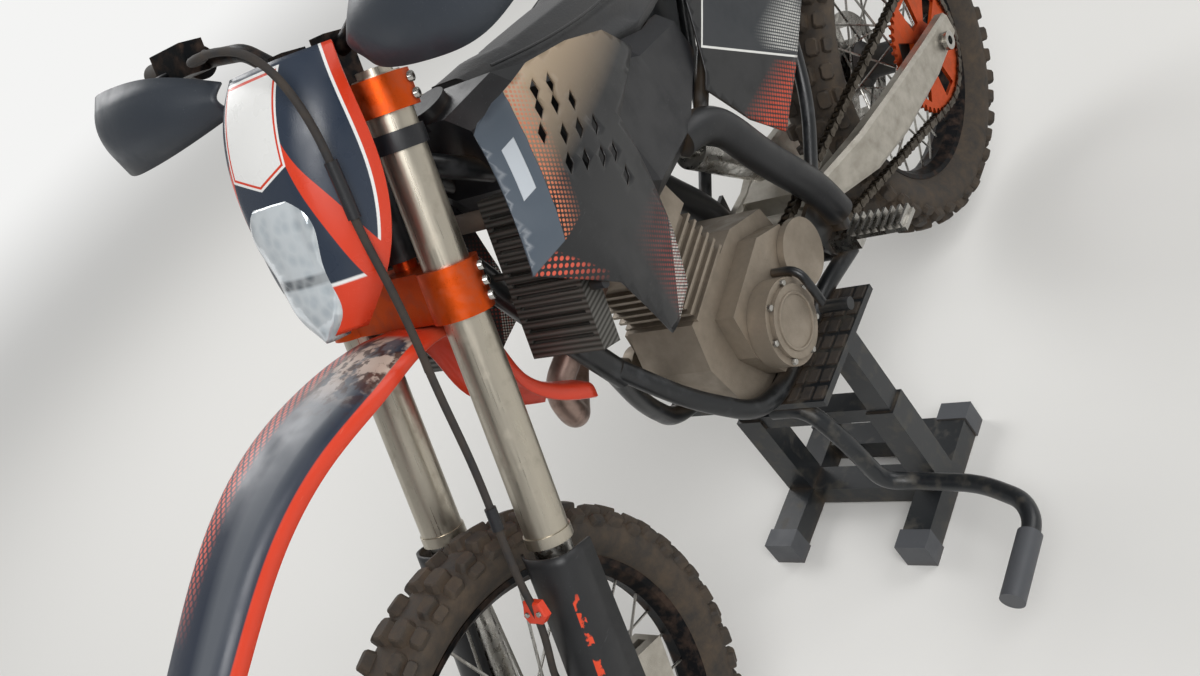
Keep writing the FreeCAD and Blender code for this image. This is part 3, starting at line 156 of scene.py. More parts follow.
class Finish:
    """A material under construction, with its tree, its shader and the place on the object.

    A share is a value from 0 to 1 over the surface, and lengths are in metres."""

    def __init__(self, name, colour, roughness, metallic=0.0, **shader):
        self.material = FINISHES[name] = bpy.data.materials.new(name)
        self.material.use_nodes = True
        self.tree = self.material.node_tree
        self.shader = self.tree.nodes["Principled BSDF"]
        self.place = add_node(self.tree, "ShaderNodeTexCoord").outputs["Object"]
        self.shader.inputs["Base Color"].default_value = linear(colour)
        self.shader.inputs["Roughness"].default_value = roughness
        self.shader.inputs["Metallic"].default_value = metallic
        for key, value in shader.items():
            self.shader.inputs[key.replace("_", " ")].default_value = value
        self.colour = None
        self.height = None

    def measured(self, centre, axes):
        """The lengths from a centre along each of three axes."""
        moved = add_node(self.tree, "ShaderNodeVectorMath",
                         {0: self.place, 1: tuple(float(v) for v in centre)}, operation="SUBTRACT")
        return [add_node(self.tree, "ShaderNodeVectorMath",
                         {0: moved.outputs[0], 1: tuple(float(v) for v in axis)},
                         operation="DOT_PRODUCT").outputs["Value"] for axis in axes]

    def mapped(self, name):
        """The two lengths that a piece's map holds."""
        chart = add_node(self.tree, "ShaderNodeUVMap", uv_map=name)
        parts = add_node(self.tree, "ShaderNodeSeparateXYZ", {0: chart.outputs[0]})
        return parts.outputs["X"], parts.outputs["Y"]

    def beyond(self, start, end):
        """Distance to the right of a line from start to end, given as X and Z in mm on the bike."""
        start, end = (on_bike((x, 0, z)) for x, z in (start, end))
        along = unit(end - start)
        normal = (float(-along[2]), 0.0, float(along[0]))
        dot = add_node(self.tree, "ShaderNodeVectorMath", {0: self.place, 1: normal},
                       operation="DOT_PRODUCT")
        return add_node(self.tree, "ShaderNodeMath",
                        {0: dot.outputs["Value"], 1: float(np.dot(normal, start))},
                        operation="SUBTRACT").outputs[0]

    def leaning(self, first, slope, second):
        """A first length plus a slope times a second one."""
        return add_node(self.tree, "ShaderNodeMath", {0: second, 1: slope, 2: first},
                        operation="MULTIPLY_ADD").outputs[0]

    def fade(self, value, start, end):
        """0 at start and 1 at end, straight between them, whichever is the larger."""
        return add_node(self.tree, "ShaderNodeMapRange",
                        {"Value": value, "From Min": start, "From Max": end}).outputs[0]

    def between(self, value, start, end, soft=0.0005):
        """1 from start to end, with a soft edge inside each of them."""
        return self.overlap(self.fade(value, start, start + soft), self.fade(value, end, end - soft))

    def overlap(self, *shares):
        """1 only where every share is 1: their product."""
        product = shares[0]
        for share in shares[1:]:
            product = add_node(self.tree, "ShaderNodeMath", {0: product, 1: share},
                               operation="MULTIPLY", use_clamp=True).outputs[0]
        return product

    def either(self, first, second):
        """Two shares added and kept from 0 to 1."""
        return add_node(self.tree, "ShaderNodeMath", {0: first, 1: second},
                        operation="ADD", use_clamp=True).outputs[0]

    def patches(self, across, low, high, detail=3.0, rough=0.55, place=None, stretch=(1, 1, 1)):
        """Uneven cover by noise of a real patch size: 0 below low, 1 above high."""
        spread = add_node(self.tree, "ShaderNodeMapping",
                          {"Vector": place or self.place, "Scale": stretch})
        cloud = add_node(self.tree, "ShaderNodeTexNoise",
                         {"Vector": spread.outputs[0], "Scale": 1 / across, "Detail": detail,
                          "Roughness": rough})
        return self.fade(cloud.outputs["Fac"], low, high)

    def hollows(self, reach):
        """1 in hollows and 0 on open faces, by how much of the surroundings is near."""
        near = add_node(self.tree, "ShaderNodeAmbientOcclusion", {"Distance": reach}, samples=6)
        return self.fade(near.outputs["AO"], 0.75, 0.25)

    def painted(self, share, colour, amount=1.0):
        """Lays a colour over what is there already, by a share of an amount."""
        if amount < 1:
            share = self.overlap(share, amount)
        under = self.colour or tuple(self.shader.inputs["Base Color"].default_value)
        mixed = add_node(self.tree, "ShaderNodeMix", {0: share, 6: under, 7: linear(colour)},
                         data_type="RGBA")
        self.colour = mixed.outputs[2]
        self.tree.links.new(self.colour, self.shader.inputs["Base Color"])

    def dotted(self, region, along, across, pitch, radius, colour, amount=1.0):
        """Paints a region with round dots on a square grid that is turned by 45 degrees."""
        turned = []
        for sign in ("ADD", "SUBTRACT"):
            value = add_node(self.tree, "ShaderNodeMath", {0: along, 1: across}, operation=sign)
            for operation, by in (("MULTIPLY", math.sqrt(0.5) / pitch), ("FLOORED_MODULO", 1.0),
                                  ("SUBTRACT", 0.5)):
                value = add_node(self.tree, "ShaderNodeMath", {0: value.outputs[0], 1: by},
                                 operation=operation)
            turned.append(value.outputs[0])
        spread = add_node(self.tree, "ShaderNodeCombineXYZ", dict(enumerate(turned)))
        length = add_node(self.tree, "ShaderNodeVectorMath", {0: spread.outputs[0]},
                          operation="LENGTH")
        size, soft = radius / pitch, 0.05
        dots = self.fade(length.outputs["Value"], size + soft, size - soft)
        self.painted(self.overlap(dots, region), colour, amount)

    def roughened(self, share, low, high):
        """Roughness from low to high as the share goes from 0 to 1."""
        span = add_node(self.tree, "ShaderNodeMapRange", {"Value": share, "To Min": low, "To Max": high})
        self.tree.links.new(span.outputs[0], self.shader.inputs["Roughness"])

    def embossed(self, height, depth):
        """Relief of a real depth, added to what is there already."""
        before = {"Normal": self.height} if self.height else {}
        relief = add_node(self.tree, "ShaderNodeBump",
                          {"Height": height, "Distance": depth, "Strength": 1.0, **before})
        self.height = relief.outputs[0]
        self.tree.links.new(self.height, self.shader.inputs["Normal"])


def moulded_plastic(name, colour, gloss, scuff="#6E7072", dusty=0.25):
    """Injection-moulded polypropylene: satin, with fine scratches and a little dust in its hollows."""
    made = Finish(name, colour, roughness=gloss, IOR=1.49)
    # Hair scratches about 1.6 mm apart and some 20 mm long, paler than the plastic
    scratches = made.patches(0.0016, 0.66, 0.74, detail=2.0, stretch=(0.08, 1, 1))
    cover = made.patches(0.055, 0.42, 0.68)
    made.painted(made.overlap(scratches, cover), scuff, 0.35)
    made.painted(made.hollows(0.03), COLOURS["dust"], dusty)
    made.roughened(cover, gloss - 0.06, gloss + 0.14)
    # Grain of the mould, 0.4 mm, drawn at 0.9 mm so that it shows
    made.embossed(made.patches(0.0009, 0.3, 0.7, detail=1.0), 0.00004)
    return made


def powder_coat(name, colour="#17191B", worn="#5B5D60", amount=0.3):
    """Powder-coated steel: satin black with a slight orange peel and rubbed, greyer patches."""
    made = Finish(name, colour, roughness=0.38, IOR=1.5)
    rubbed = made.patches(0.03, 0.52, 0.72, detail=6.0)
    made.painted(rubbed, worn, amount)
    made.painted(made.hollows(0.03), COLOURS["dust"], 0.3)
    made.roughened(rubbed, 0.32, 0.6)
    # Orange peel 2.5 mm across
    made.embossed(made.patches(0.0025, 0.2, 0.8, detail=1.0), 0.00006)


def anodised_aluminium(name, colour, gloss=0.32):
    """Machined and colour-anodised aluminium: a metal tint with fine grain and dull rubs."""
    made = Finish(name, colour, roughness=gloss, metallic=1.0)
    grain = made.patches(0.0008, 0.3, 0.7, detail=2.0)
    dull = made.patches(0.018, 0.45, 0.7, detail=5.0)
    made.painted(dull, "#8A7060", 0.25)
    # Painted shade: dark brown in the hollows, found by ambient occlusion
    made.painted(made.hollows(0.02), "#3A2C22", 0.35)
    made.roughened(made.either(grain, dull), gloss - 0.06, gloss + 0.22)
    made.embossed(grain, 0.00002)


def cast_metal(name, colour, gloss, metallic, dusty=0.45):
    """Sand-cast aluminium: open grain of 1.8 mm, hollows darkened with painted shade, and dust."""
    made = Finish(name, colour, roughness=gloss, metallic=metallic)
    cloudy = made.patches(0.03, 0.35, 0.7, detail=6.0)
    made.painted(cloudy, "#6E665A", 0.35)
    # Painted shade: dark brown in the hollows, found by ambient occlusion
    made.painted(made.hollows(0.025), "#3B322A", dusty)
    made.roughened(cloudy, gloss - 0.08, gloss + 0.18)
    made.embossed(made.patches(0.0018, 0.3, 0.7), 0.00018)


def steel(name, colour, gloss, dirt="#4A4036", amount=0.35):
    """Plain or plated steel: bright, with brown-grey grime in patches and painted shade in its hollows."""
    made = Finish(name, colour, roughness=gloss, metallic=1.0)
    grime = made.patches(0.012, 0.4, 0.7, detail=6.0)
    made.painted(grime, dirt, amount)
    # Painted shade: near-black brown in the hollows, found by ambient occlusion
    made.painted(made.hollows(0.015), "#2B241E", 0.5)
    made.roughened(grime, gloss - 0.08, gloss + 0.25)
    made.embossed(made.patches(0.0015, 0.3, 0.7, detail=2.0), 0.00003)


def cured_rubber(name, colour, dusty, grain=0.0012):
    """Vulcanised rubber: matt and dark, paler with dust where it has touched the ground."""
    made = Finish(name, colour, roughness=0.78, IOR=1.52)
    dust = made.patches(0.03, 0.30, 0.70, detail=9.0, rough=0.7)
    made.painted(dust, COLOURS["dust"], dusty)
    made.painted(made.hollows(0.014), "#6A5642", dusty)
    made.roughened(dust, 0.7, 0.92)
    made.embossed(made.patches(grain, 0.3, 0.7), 0.00012)


def fork_tube_aluminium():
    """Hard-anodised fork tube: drawn aluminium, polished along its length, pale champagne."""
    made = Finish("hard_anodised_fork_tube", COLOURS["stanchion"], roughness=0.3, metallic=1.0)
    parts = made.measured(AXIS_FOOT, STEERING_AXES)
    place = add_node(made.tree, "ShaderNodeCombineXYZ", dict(enumerate(parts))).outputs[0]
    # Drawing lines 1.6 mm apart and 80 mm long
    drawn = made.patches(0.0016, 0.25, 0.75, detail=2.0, place=place, stretch=(1, 1, 0.02))
    marks = made.patches(0.02, 0.55, 0.72, detail=7.0, place=place)
    made.painted(marks, "#8D8476", 0.3)
    made.roughened(made.either(drawn, marks), 0.24, 0.44)
    made.embossed(drawn, 0.000015)


def exhaust_steel():
    """Exhaust header: stainless steel that its own heat has browned, with sooty spots."""
    made = Finish("heat_tinted_stainless_steel", "#9A857C", roughness=0.42, metallic=0.8)
    made.painted(made.patches(0.07, 0.35, 0.65, detail=2.0), "#A58C80")
    made.painted(made.patches(0.016, 0.5, 0.75, detail=6.0), "#4B3A31", 0.5)
    made.embossed(made.patches(0.002, 0.3, 0.7), 0.00004)


def headlight_polycarbonate():
    """Headlight glass: clear polycarbonate over two bright reflectors, a little hazed, with painted
    reflections on the reflectors' facets.
    """
    made = Finish("clear_polycarbonate_lens", "#C3CCD2", roughness=0.08, metallic=0.35, IOR=1.58,
                  Coat_Weight=0.8, Coat_Roughness=0.04)
    _, across, level = made.measured(AXIS_FOOT, STEERING_AXES)
    aside = add_node(made.tree, "ShaderNodeMath", {0: across}, operation="ABSOLUTE").outputs[0]
    # Grey foot of the housing, darker gap between the reflectors and grey sides
    made.painted(made.fade(level, 0.690, 0.640), "#7C868C", 0.55)
    made.painted(made.between(level, 0.706, 0.722, soft=0.004), "#5A6268")
    made.painted(made.fade(aside, 0.036, 0.046), "#6E787F", 0.5)
    # Facets of the reflectors, 16 mm wide, paled towards their edges with painted reflection
    facets = add_node(made.tree, "ShaderNodeTexVoronoi", {"Vector": made.place, "Scale": 1 / 0.016})
    made.painted(made.fade(facets.outputs["Distance"], 0.2, 0.6), "#EEF2F4", 0.35)
    made.embossed(facets.outputs["Distance"], 0.0006)
    made.roughened(made.patches(0.01, 0.4, 0.7), 0.06, 0.2)


def tail_acrylic():
    """Tail light: moulded red acrylic, glossy and uneven in depth."""
    made = Finish("red_acrylic_lens", "#7E120D", roughness=0.12, IOR=1.49, Coat_Weight=0.6)
    made.painted(made.patches(0.01, 0.4, 0.7), "#5E0B08")


def seat_vinyl():
    """Seat cover: calendered vinyl, matt, with a grip pattern 4 mm across and dusty patches."""
    made = Finish("calendered_seat_vinyl", COLOURS["seat"], roughness=0.7, IOR=1.5, Sheen_Weight=0.15)
    made.painted(made.patches(0.09, 0.4, 0.7, detail=6.0), "#4A4743", 0.25)
    cell = add_node(made.tree, "ShaderNodeTexVoronoi", {"Vector": made.place, "Scale": 1 / 0.004})
    made.embossed(cell.outputs["Distance"], 0.0003)
    made.embossed(made.patches(0.0012, 0.3, 0.7), 0.0001)


def radiator_core():
    """Radiator core: brazed aluminium, its fins drawn 6 mm apart as dark lines of painted shade so that they
    show.
    """
    made = Finish("brazed_radiator_core", "#6C6A66", roughness=0.5, metallic=0.7)
    # Blender's wave has 20 radians in a unit of its scale, so 52 repeats each 6 mm
    fins = add_node(made.tree, "ShaderNodeTexWave", {"Vector": made.place, "Scale": 52.0},
                    bands_direction="Z")
    # Painted shade: dark lines for the deep gaps between the fins
    made.painted(fins.outputs["Fac"], "#26241F", 0.8)
    made.embossed(fins.outputs["Fac"], 0.0008)


def fender_film():
    """Front fender: orange polypropylene under a black-blue film with dots and a bare worn patch.

    Its map runs along the crown from the rear end, across from the crown to the rider's right, and in
    from the nearer edge."""
    made = moulded_plastic("fender_film", COLOURS["orange"], gloss=0.34, scuff=PALE_SCUFF)
    along, across = made.mapped("place")
    edge, _ = made.mapped("edge")
    film = made.overlap(made.fade(edge, 0.016, 0.0175), made.fade(along, 0.33, 0.345))
    made.painted(film, "#232B3A")
    # Grey band of painted sheen on the left, and dots on the right
    sheen_band = made.overlap(film, made.fade(across, -0.012, -0.03), made.fade(edge, 0.022, 0.04))
    made.painted(sheen_band, "#6F7378", 0.55)
    dots = made.overlap(film, made.fade(across, 0.004, 0.024), made.fade(along, 0.34, 0.36),
                        made.fade(along, 0.76, 0.66))
    made.dotted(dots, along, across, 0.009, 0.0033, "#E2604E")
    # Film worn pale at its rear end, with darker specks that reach a little further
    for size, low, high, end, start, colour, amount in (
            (0.035, 0.44, 0.50, 0.47, 0.40, "#B9A79A", 1.0),
            (0.014, 0.50, 0.58, 0.50, 0.42, "#3A1E16", 0.9)):
        worn = made.overlap(film, made.patches(size, low, high, detail=6.0),
                            made.fade(along, end, start), made.fade(across, 0.03, 0.005))
        made.painted(worn, colour, amount)


def mask_film():
    """Headlight mask: orange with a blank white plate, blue-black sides and white lines."""
    made = moulded_plastic("mask_film", COLOURS["orange"], gloss=0.3, scuff=PALE_SCUFF)
    _, across, level = made.measured(AXIS_FOOT, STEERING_AXES)
    aside = add_node(made.tree, "ShaderNodeMath", {0: across}, operation="ABSOLUTE").outputs[0]
    # Side field: a white one and a dark one inside it, both running with the sheet's edge
    edge, _ = made.mapped("edge")
    for rim, foot, colour in ((0.012, 0.700, COLOURS["white"]), (0.0155, 0.704, "#26303F")):
        field = made.overlap(made.fade(edge, rim, rim + 0.0005), made.fade(level, foot, foot + 0.002))
        made.painted(field, colour)
    # Orange wedge that rises from the glass's lower corner, between two leaning lines
    wedge = made.overlap(made.fade(made.leaning(aside, 0.20, level), 0.2195, 0.2200),
                         made.fade(made.leaning(aside, 0.42, level), 0.4155, 0.4150),
                         made.fade(level, 0.892, 0.888))
    made.painted(wedge, COLOURS["orange"])
    # Plate: a white field 104 mm wide with a pointed foot, and an orange line inside its edge
    plate_half, plate_foot, plate_top, line, soft = 0.052, 0.822, 0.944, 0.003, 0.0005
    pointed = made.leaning(level, -0.35, aside)
    for step, colour in enumerate((COLOURS["white"], COLOURS["orange"], COLOURS["white"])):
        side, foot, top = plate_half - step * line, plate_foot + step * line, plate_top - step * line
        made.painted(made.overlap(made.fade(aside, side, side - soft), made.fade(pointed, foot, foot + soft),
                                  made.fade(level, top, top - soft)), colour)


def shroud_film():
    """Shrouds: black, with a blue-grey strip ahead of the crease, a painted beige highlight towards the top,
    and dots at the edges.
    """
    made = moulded_plastic("shroud_film", "#17181A", gloss=0.36)
    x, _, z = made.measured(on_bike((0, 0, 0)), np.eye(3))
    crease = made.beyond(FOLD_START, FOLD_END)
    low_edge = made.beyond(SHROUD_FOOT, SHROUD_NOSE)
    rear_edge = made.beyond((900, 730), (1006, 620))
    fold_level = FOLD_END[1] / 1000
    upper = made.fade(z, fold_level - 0.0005, fold_level + 0.0005)
    behind = made.overlap(made.fade(crease, 0.0, -0.0005), upper)
    # Painted highlight: a pale beige wash behind the crease, stronger towards the top where the light falls
    made.painted(made.overlap(behind, made.fade(z, 0.925, 1.03)), "#C4AD90", 0.85)
    # columns: pitch and radius of the dots, where they are, colour, amount
    for pitch, radius, region, colour, amount in (
            (0.0055, 0.0019, (behind, made.fade(crease, -0.040, -0.006), made.fade(z, 0.84, 0.90)),
             "#C9734F", 1.0),
            (0.008, 0.0026, (made.fade(low_edge, 0.034, 0.030), made.fade(z, 0.884, 0.880),
                             made.fade(z, 0.80, 0.86)), "#D0563F", 1.0),
            (0.006, 0.0018, (made.fade(z, 0.80, 0.70), made.fade(x, 0.99, 0.95)), "#A8362A", 0.8),
            (0.004, 0.0014, (made.fade(rear_edge, 0.010, 0.008), made.fade(z, 0.86, 0.80)),
             "#C9C7C0", 1.0)):
        made.dotted(made.overlap(*region), x, z, pitch, radius, colour, amount)
    made.painted(made.overlap(made.fade(crease, 0.0, 0.0005), upper), "#4C555F")
    # Small blank badge on the strip, standing 0.8 mm proud
    badge = made.overlap(made.between(crease, 0.012, 0.030), made.between(z, 0.944, 0.996))
    made.painted(badge, "#B4BAC0")
    made.embossed(badge, 0.0008)


def side_film():
    """Side panels: black, with a dark number field inside a white line, and dots in its corner and below."""
    made = moulded_plastic("side_film", "#17181A", gloss=0.4)
    x, _, z = made.measured(on_bike((0, 0, 0)), np.eye(3))
    # Number field: ahead and below it ends at two lines that meet in its front corner
    field_front = (591, 801)
    front = made.beyond(field_front, (531, 841))
    under = made.beyond((430, 650), field_front)
    within = add_node(made.tree, "ShaderNodeMath", {0: front, 1: under}, operation="MINIMUM").outputs[0]
    made.painted(made.fade(within, 0.0, 0.0004), "#D8D8D4")
    made.painted(made.fade(within, 0.0034, 0.0038), "#22262B")
    corner = made.overlap(made.fade(within, 0.008, 0.010), made.between(x, 0.32, 0.48, soft=0.04),
                          made.fade(z, 0.74, 0.70))
    made.dotted(corner, x, z, 0.005, 0.0017, "#C9C9C4")
    below = made.overlap(made.fade(within, -0.004, -0.008), made.fade(z, 0.68, 0.63))
    made.dotted(below, x, z, 0.0065, 0.0024, "#C8431F")


def fork_guard_film():
    """Fork guards: black polypropylene with a worn orange strip down the outer front edge."""
    made = moulded_plastic("fork_guard_film", "#1B1C1E", gloss=0.42)
    along, across = made.mapped("place")
    lasting = made.patches(0.018, 0.47, 0.50, detail=6.0)
    strip = made.overlap(made.between(across, -0.0285, -0.0190), lasting, made.fade(along, 0.315, 0.30))
    made.painted(strip, "#D6431F")


def make_finishes():
    """Every finish of the bike, by a maker's name for it."""
    # Moulded polypropylene keeps its colour through the wall, so its scratches are only paler
    moulded_plastic("orange_moulded_plastic", COLOURS["orange"], gloss=0.36, scuff=PALE_SCUFF)
    moulded_plastic("black_moulded_plastic", COLOURS["black"], gloss=0.4)
    moulded_plastic("grey_moulded_plastic", "#4A4C50", gloss=0.5)
    moulded_plastic("grey_blue_moulded_plastic", "#2A3038", gloss=0.45)
    # Frame covers are rubbed grey by boots
    moulded_plastic("frame_cover_plastic", "#1C1D1F", gloss=0.45, scuff="#77797B", dusty=0.4)
    powder_coat("black_powder_coated_steel")
    powder_coat("stand_powder_coated_steel", "#1B1E21", worn="#6A6458", amount=0.4)
    anodised_aluminium("orange_anodised_aluminium", COLOURS["anodised"])
    anodised_aluminium("black_anodised_aluminium", "#1C1D1F", gloss=0.4)
    cast_metal("painted_engine_castings", COLOURS["engine"], gloss=0.46, metallic=0.55)
    cast_metal("cast_swingarm_aluminium", COLOURS["alloy"], gloss=0.4, metallic=0.9, dusty=0.4)
    cast_metal("cast_hub_aluminium", "#3A3B3D", gloss=0.45, metallic=0.8)
    steel("ground_stainless_steel", "#B5B3AE", gloss=0.26, amount=0.2)
    steel("plated_spoke_steel", "#A6A49F", gloss=0.3)
    steel("oiled_chain_steel", "#5A534A", gloss=0.38, dirt="#2C251E", amount=0.6)
    cured_rubber("tyre_rubber", COLOURS["rubber"], dusty=0.36)
    cured_rubber("grip_rubber", "#1E1E1F", dusty=0.2, grain=0.002)
    cured_rubber("coolant_hose_rubber", "#5B5048", dusty=0.3)
    cured_rubber("brake_hose_rubber", "#1C1C1E", dusty=0.2, grain=0.0016)
    for make in (fork_tube_aluminium, exhaust_steel, headlight_polycarbonate, tail_acrylic, seat_vinyl,
                 radiator_core, fender_film, mask_film, shroud_film, side_film, fork_guard_film):
        make()


NODE_FINISHES = {
    "black_powder_coated_steel": ["frame", "subframe", "shift_lever", "brake_pedal"],
    "stand_powder_coated_steel": ["stand_base", "stand_posts", "stand_platform", "stand_lever"],
    "grey_moulded_plastic": ["stand_caps", "stand_grip"],
    "black_moulded_plastic": [
        "frame_guards", "fuel_tank", "shroud_left", "shroud_right", "side_panel_left",
        "side_panel_right", "rear_fender", "fork_guards", "handguards"],
    "orange_moulded_plastic": ["headlight_mask", "front_fender"],
    "painted_engine_castings": ["engine", "engine_covers"],
    "cast_swingarm_aluminium": ["swingarm", "rear_brake_caliper", "front_brake_caliper"],
    "cast_hub_aluminium": ["front_hub", "rear_hub"],
    "orange_anodised_aluminium": ["lower_clamp", "upper_clamp", "rear_sprocket"],
    "black_anodised_aluminium": ["front_rim", "rear_rim", "handlebar", "silencer", "bar_controls"],
    "hard_anodised_fork_tube": ["fork_outer_tubes"],
    "ground_stainless_steel": [
        "fork_lower_legs", "front_axle", "rear_axle", "front_brake_disc", "rear_brake_disc",
        "footpegs", "shock", "front_sprocket"],
    "plated_spoke_steel": ["front_spokes", "rear_spokes"],
    "oiled_chain_steel": ["chain"],
    "tyre_rubber": ["front_tyre", "rear_tyre"],
    "grip_rubber": ["grips"],
    "coolant_hose_rubber": ["radiator_hose"],
    "heat_tinted_stainless_steel": ["exhaust_header"],
    "clear_polycarbonate_lens": ["headlight_lens"],
    "red_acrylic_lens": ["tail_light"],
    "calendered_seat_vinyl": ["seat"],
    "brazed_radiator_core": ["radiators"],
}


# Places and meshes


def on_bike(points):
    """Points in mm ahead of the rear axle, to the left, and above the tyres' underside, in metres here."""
    return np.asarray(points, float) / 1000 + (REAR_AXLE[0], 0, LIFT)


def on_steering(points):
    """Points in mm ahead of the steering axis, to the left, and up along it, in metres here."""
    return AXIS_FOOT + np.asarray(points, float) / 1000 @ STEERING_AXES


def unit(vectors):
    """Vectors at a length of 1."""
    vectors = np.asarray(vectors, float)
    return vectors / np.linalg.norm(vectors, axis=-1, keepdims=True)


def turns(count, phase=0.0):
    """Angles of equal steps round a full turn, the first one a phase in steps on."""
    return (np.arange(count) + phase) * 2 * math.pi / count


def lengths(points):
    """Length of a path up to each of its points, along the first axis of an array."""
    steps = np.linalg.norm(np.diff(points, axis=0), axis=-1)
    return np.concatenate([np.zeros_like(steps[:1]), np.cumsum(steps, axis=0)])


def grid_faces(rows, columns, wrap_rows=False, wrap_columns=False):
    """Quads between the neighbours in a grid of points, closed on itself where it wraps."""
    row = np.arange(rows if wrap_rows else rows - 1)
    column = np.arange(columns if wrap_columns else columns - 1)
    row, column = (part.ravel() for part in np.meshgrid(row, column, indexing="ij"))
    next_row, next_column = (row + 1) % rows, (column + 1) % columns
    return np.stack([row * columns + column, next_row * columns + column,
                     next_row * columns + next_column, row * columns + next_column], 1)


def outward(vertices, faces):
    """The faces of a closed shape, turned round if its volume by signed tetrahedra comes out negative."""
    total = 0.0
    for group in faces:
        for corner in range(1, group.shape[1] - 1):
            a, b, c = vertices[group[:, 0]], vertices[group[:, corner]], vertices[group[:, corner + 1]]
            total += np.einsum("ij,ij->", a, np.cross(b, c))
    return faces if total > 0 else [group[:, ::-1] for group in faces]


def joined(shapes):
    """Several shapes, each of points and groups of faces, as one."""
    groups, start = {}, 0
    for vertices, faces in shapes:
        for group in faces:
            groups.setdefault(group.shape[1], []).append(group + start)
        start += len(vertices)
    return np.vstack([vertices for vertices, faces in shapes]), [np.vstack(part) for part in groups.values()]


def repeated(shape, places, axes):
    """A shape at every place, its own three directions turned to the axes there."""
    vertices, faces = shape
    places = np.asarray(places, float)
    points = places[:, None] + np.einsum("vk,nkd->nvd", vertices, axes)
    shift = np.arange(len(places))[:, None, None] * len(vertices)
    return points.reshape(-1, 3), [(group[None] + shift).reshape(-1, group.shape[1]) for group in faces]


def spline(rows, count):
    """Natural cubic through rows of points: its bend is linear between the rows and 0 at both ends."""
    rows = np.asarray(rows, float)
    knots = lengths(rows.reshape(len(rows), -1, 3).mean(1))
    gap, last = np.diff(knots), len(rows) - 1
    system, right = np.eye(last + 1), np.zeros(rows.shape)
    for i in range(1, last):
        system[i, i - 1:i + 2] = gap[i - 1], 2 * (gap[i - 1] + gap[i]), gap[i]
        right[i] = 6 * ((rows[i + 1] - rows[i]) / gap[i] - (rows[i] - rows[i - 1]) / gap[i - 1])
    bend = np.linalg.solve(system, right.reshape(last + 1, -1)).reshape(rows.shape)
    at = np.linspace(0, knots[-1], count)
    span = np.clip(np.searchsorted(knots, at, "right") - 1, 0, last - 1)
    shape = (-1,) + (1,) * (rows.ndim - 1)
    low = ((knots[span + 1] - at) / gap[span]).reshape(shape)
    high = 1 - low
    width = gap[span].reshape(shape)
    return (low * rows[span] + high * rows[span + 1]
            + ((low ** 3 - low) * bend[span] + (high ** 3 - high) * bend[span + 1]) * width ** 2 / 6)


def filleted(corners, reach, samples):
    """Rows of corners with each inner corner rounded by a parabola that starts and ends a reach from it."""
    parts = [corners[:, :1]]
    for i in range(1, corners.shape[1] - 1):
        before, corner, after = corners[:, i - 1], corners[:, i], corners[:, i + 1]
        back, ahead = before - corner, after - corner
        for side in (back, ahead):
            length = np.linalg.norm(side, axis=1, keepdims=True)
            # Neighbouring roundings share an edge, so neither takes half of it
            side *= np.minimum(reach / np.maximum(length, 1e-9), 0.48)
        t = np.linspace(0, 1, samples)[None, :, None]
        parts.append(corner[:, None] + back[:, None] * (1 - t) ** 2 + ahead[:, None] * t ** 2)
    return np.concatenate(parts + [corners[:, -1:]], axis=1)


def both_halves(left, middle):
    """A row of points from its left half and its middle one: the right half mirrors the left in Y."""
    return [*left, middle, *((point[0], -point[1], *point[2:]) for point in reversed(left))]


def pipe(points, radius, sides, count=2):
    """Round bar: a circle carried square along a smooth path, with both ends closed."""
    path = spline(points, count)
    heading = unit(np.gradient(path, axis=0))
    aside = unit(np.cross(heading, np.eye(3)[int(np.argmin(np.abs(heading).mean(0)))]))
    upward = np.cross(heading, aside)
    turn = turns(sides)[None, :, None]
    circles = np.cos(turn) * aside[:, None] + np.sin(turn) * upward[:, None]
    return solid_loft(path[:, None] + radius * circles)


def solid_loft(sections):
    """Closed shape through rings of points, with a flat face on the first and on the last."""
    rows, columns = sections.shape[:2]
    vertices = sections.reshape(-1, 3)
    ends = np.array([np.arange(columns)[::-1], (rows - 1) * columns + np.arange(columns)])
    return vertices, outward(vertices, [grid_faces(rows, columns, wrap_columns=True), ends])


def turned_shape(profile, steps):
    """Closed ring: a closed profile of distance from the axis and offset, turned about the Y axis."""
    angles = turns(steps)
    reach, offset = np.asarray(profile, float).T
    grid = np.stack([np.outer(np.cos(angles), reach), np.tile(offset, (steps, 1)),
                     np.outer(np.sin(angles), reach)], -1)
    vertices = grid.reshape(-1, 3)
    return vertices, outward(vertices, [grid_faces(steps, len(reach), True, True)])


def stepped(outline, levels, shares):
    """Prism on an outline, its size at each level a share of the whole, closed at both ends."""
    outline = np.asarray(outline, float)
    return solid_loft(np.stack([np.column_stack([outline * share, np.full(len(outline), level)])
                                for level, share in zip(levels, shares)]))


def polygon(sides, radius):
    """Corners of a regular polygon that lies on one of its sides."""
    angles = turns(sides, 0.5)
    return np.stack([np.cos(angles), np.sin(angles)], 1) * radius


def facing_axes(normals):
    """Three directions at each place, the last one along the given normal."""
    normals = unit(normals)
    guide = np.where(np.abs(normals[:, 2:]) < 0.9, (0.0, 0.0, 1.0), (1.0, 0.0, 0.0))
    aside = unit(np.cross(guide, normals))
    return np.stack([aside, np.cross(normals, aside), normals], 1)


def add_object(name, data):
    """A new object in the scene."""
    item = bpy.data.objects.new(name, data)
    bpy.context.scene.collection.objects.link(item)
    return item


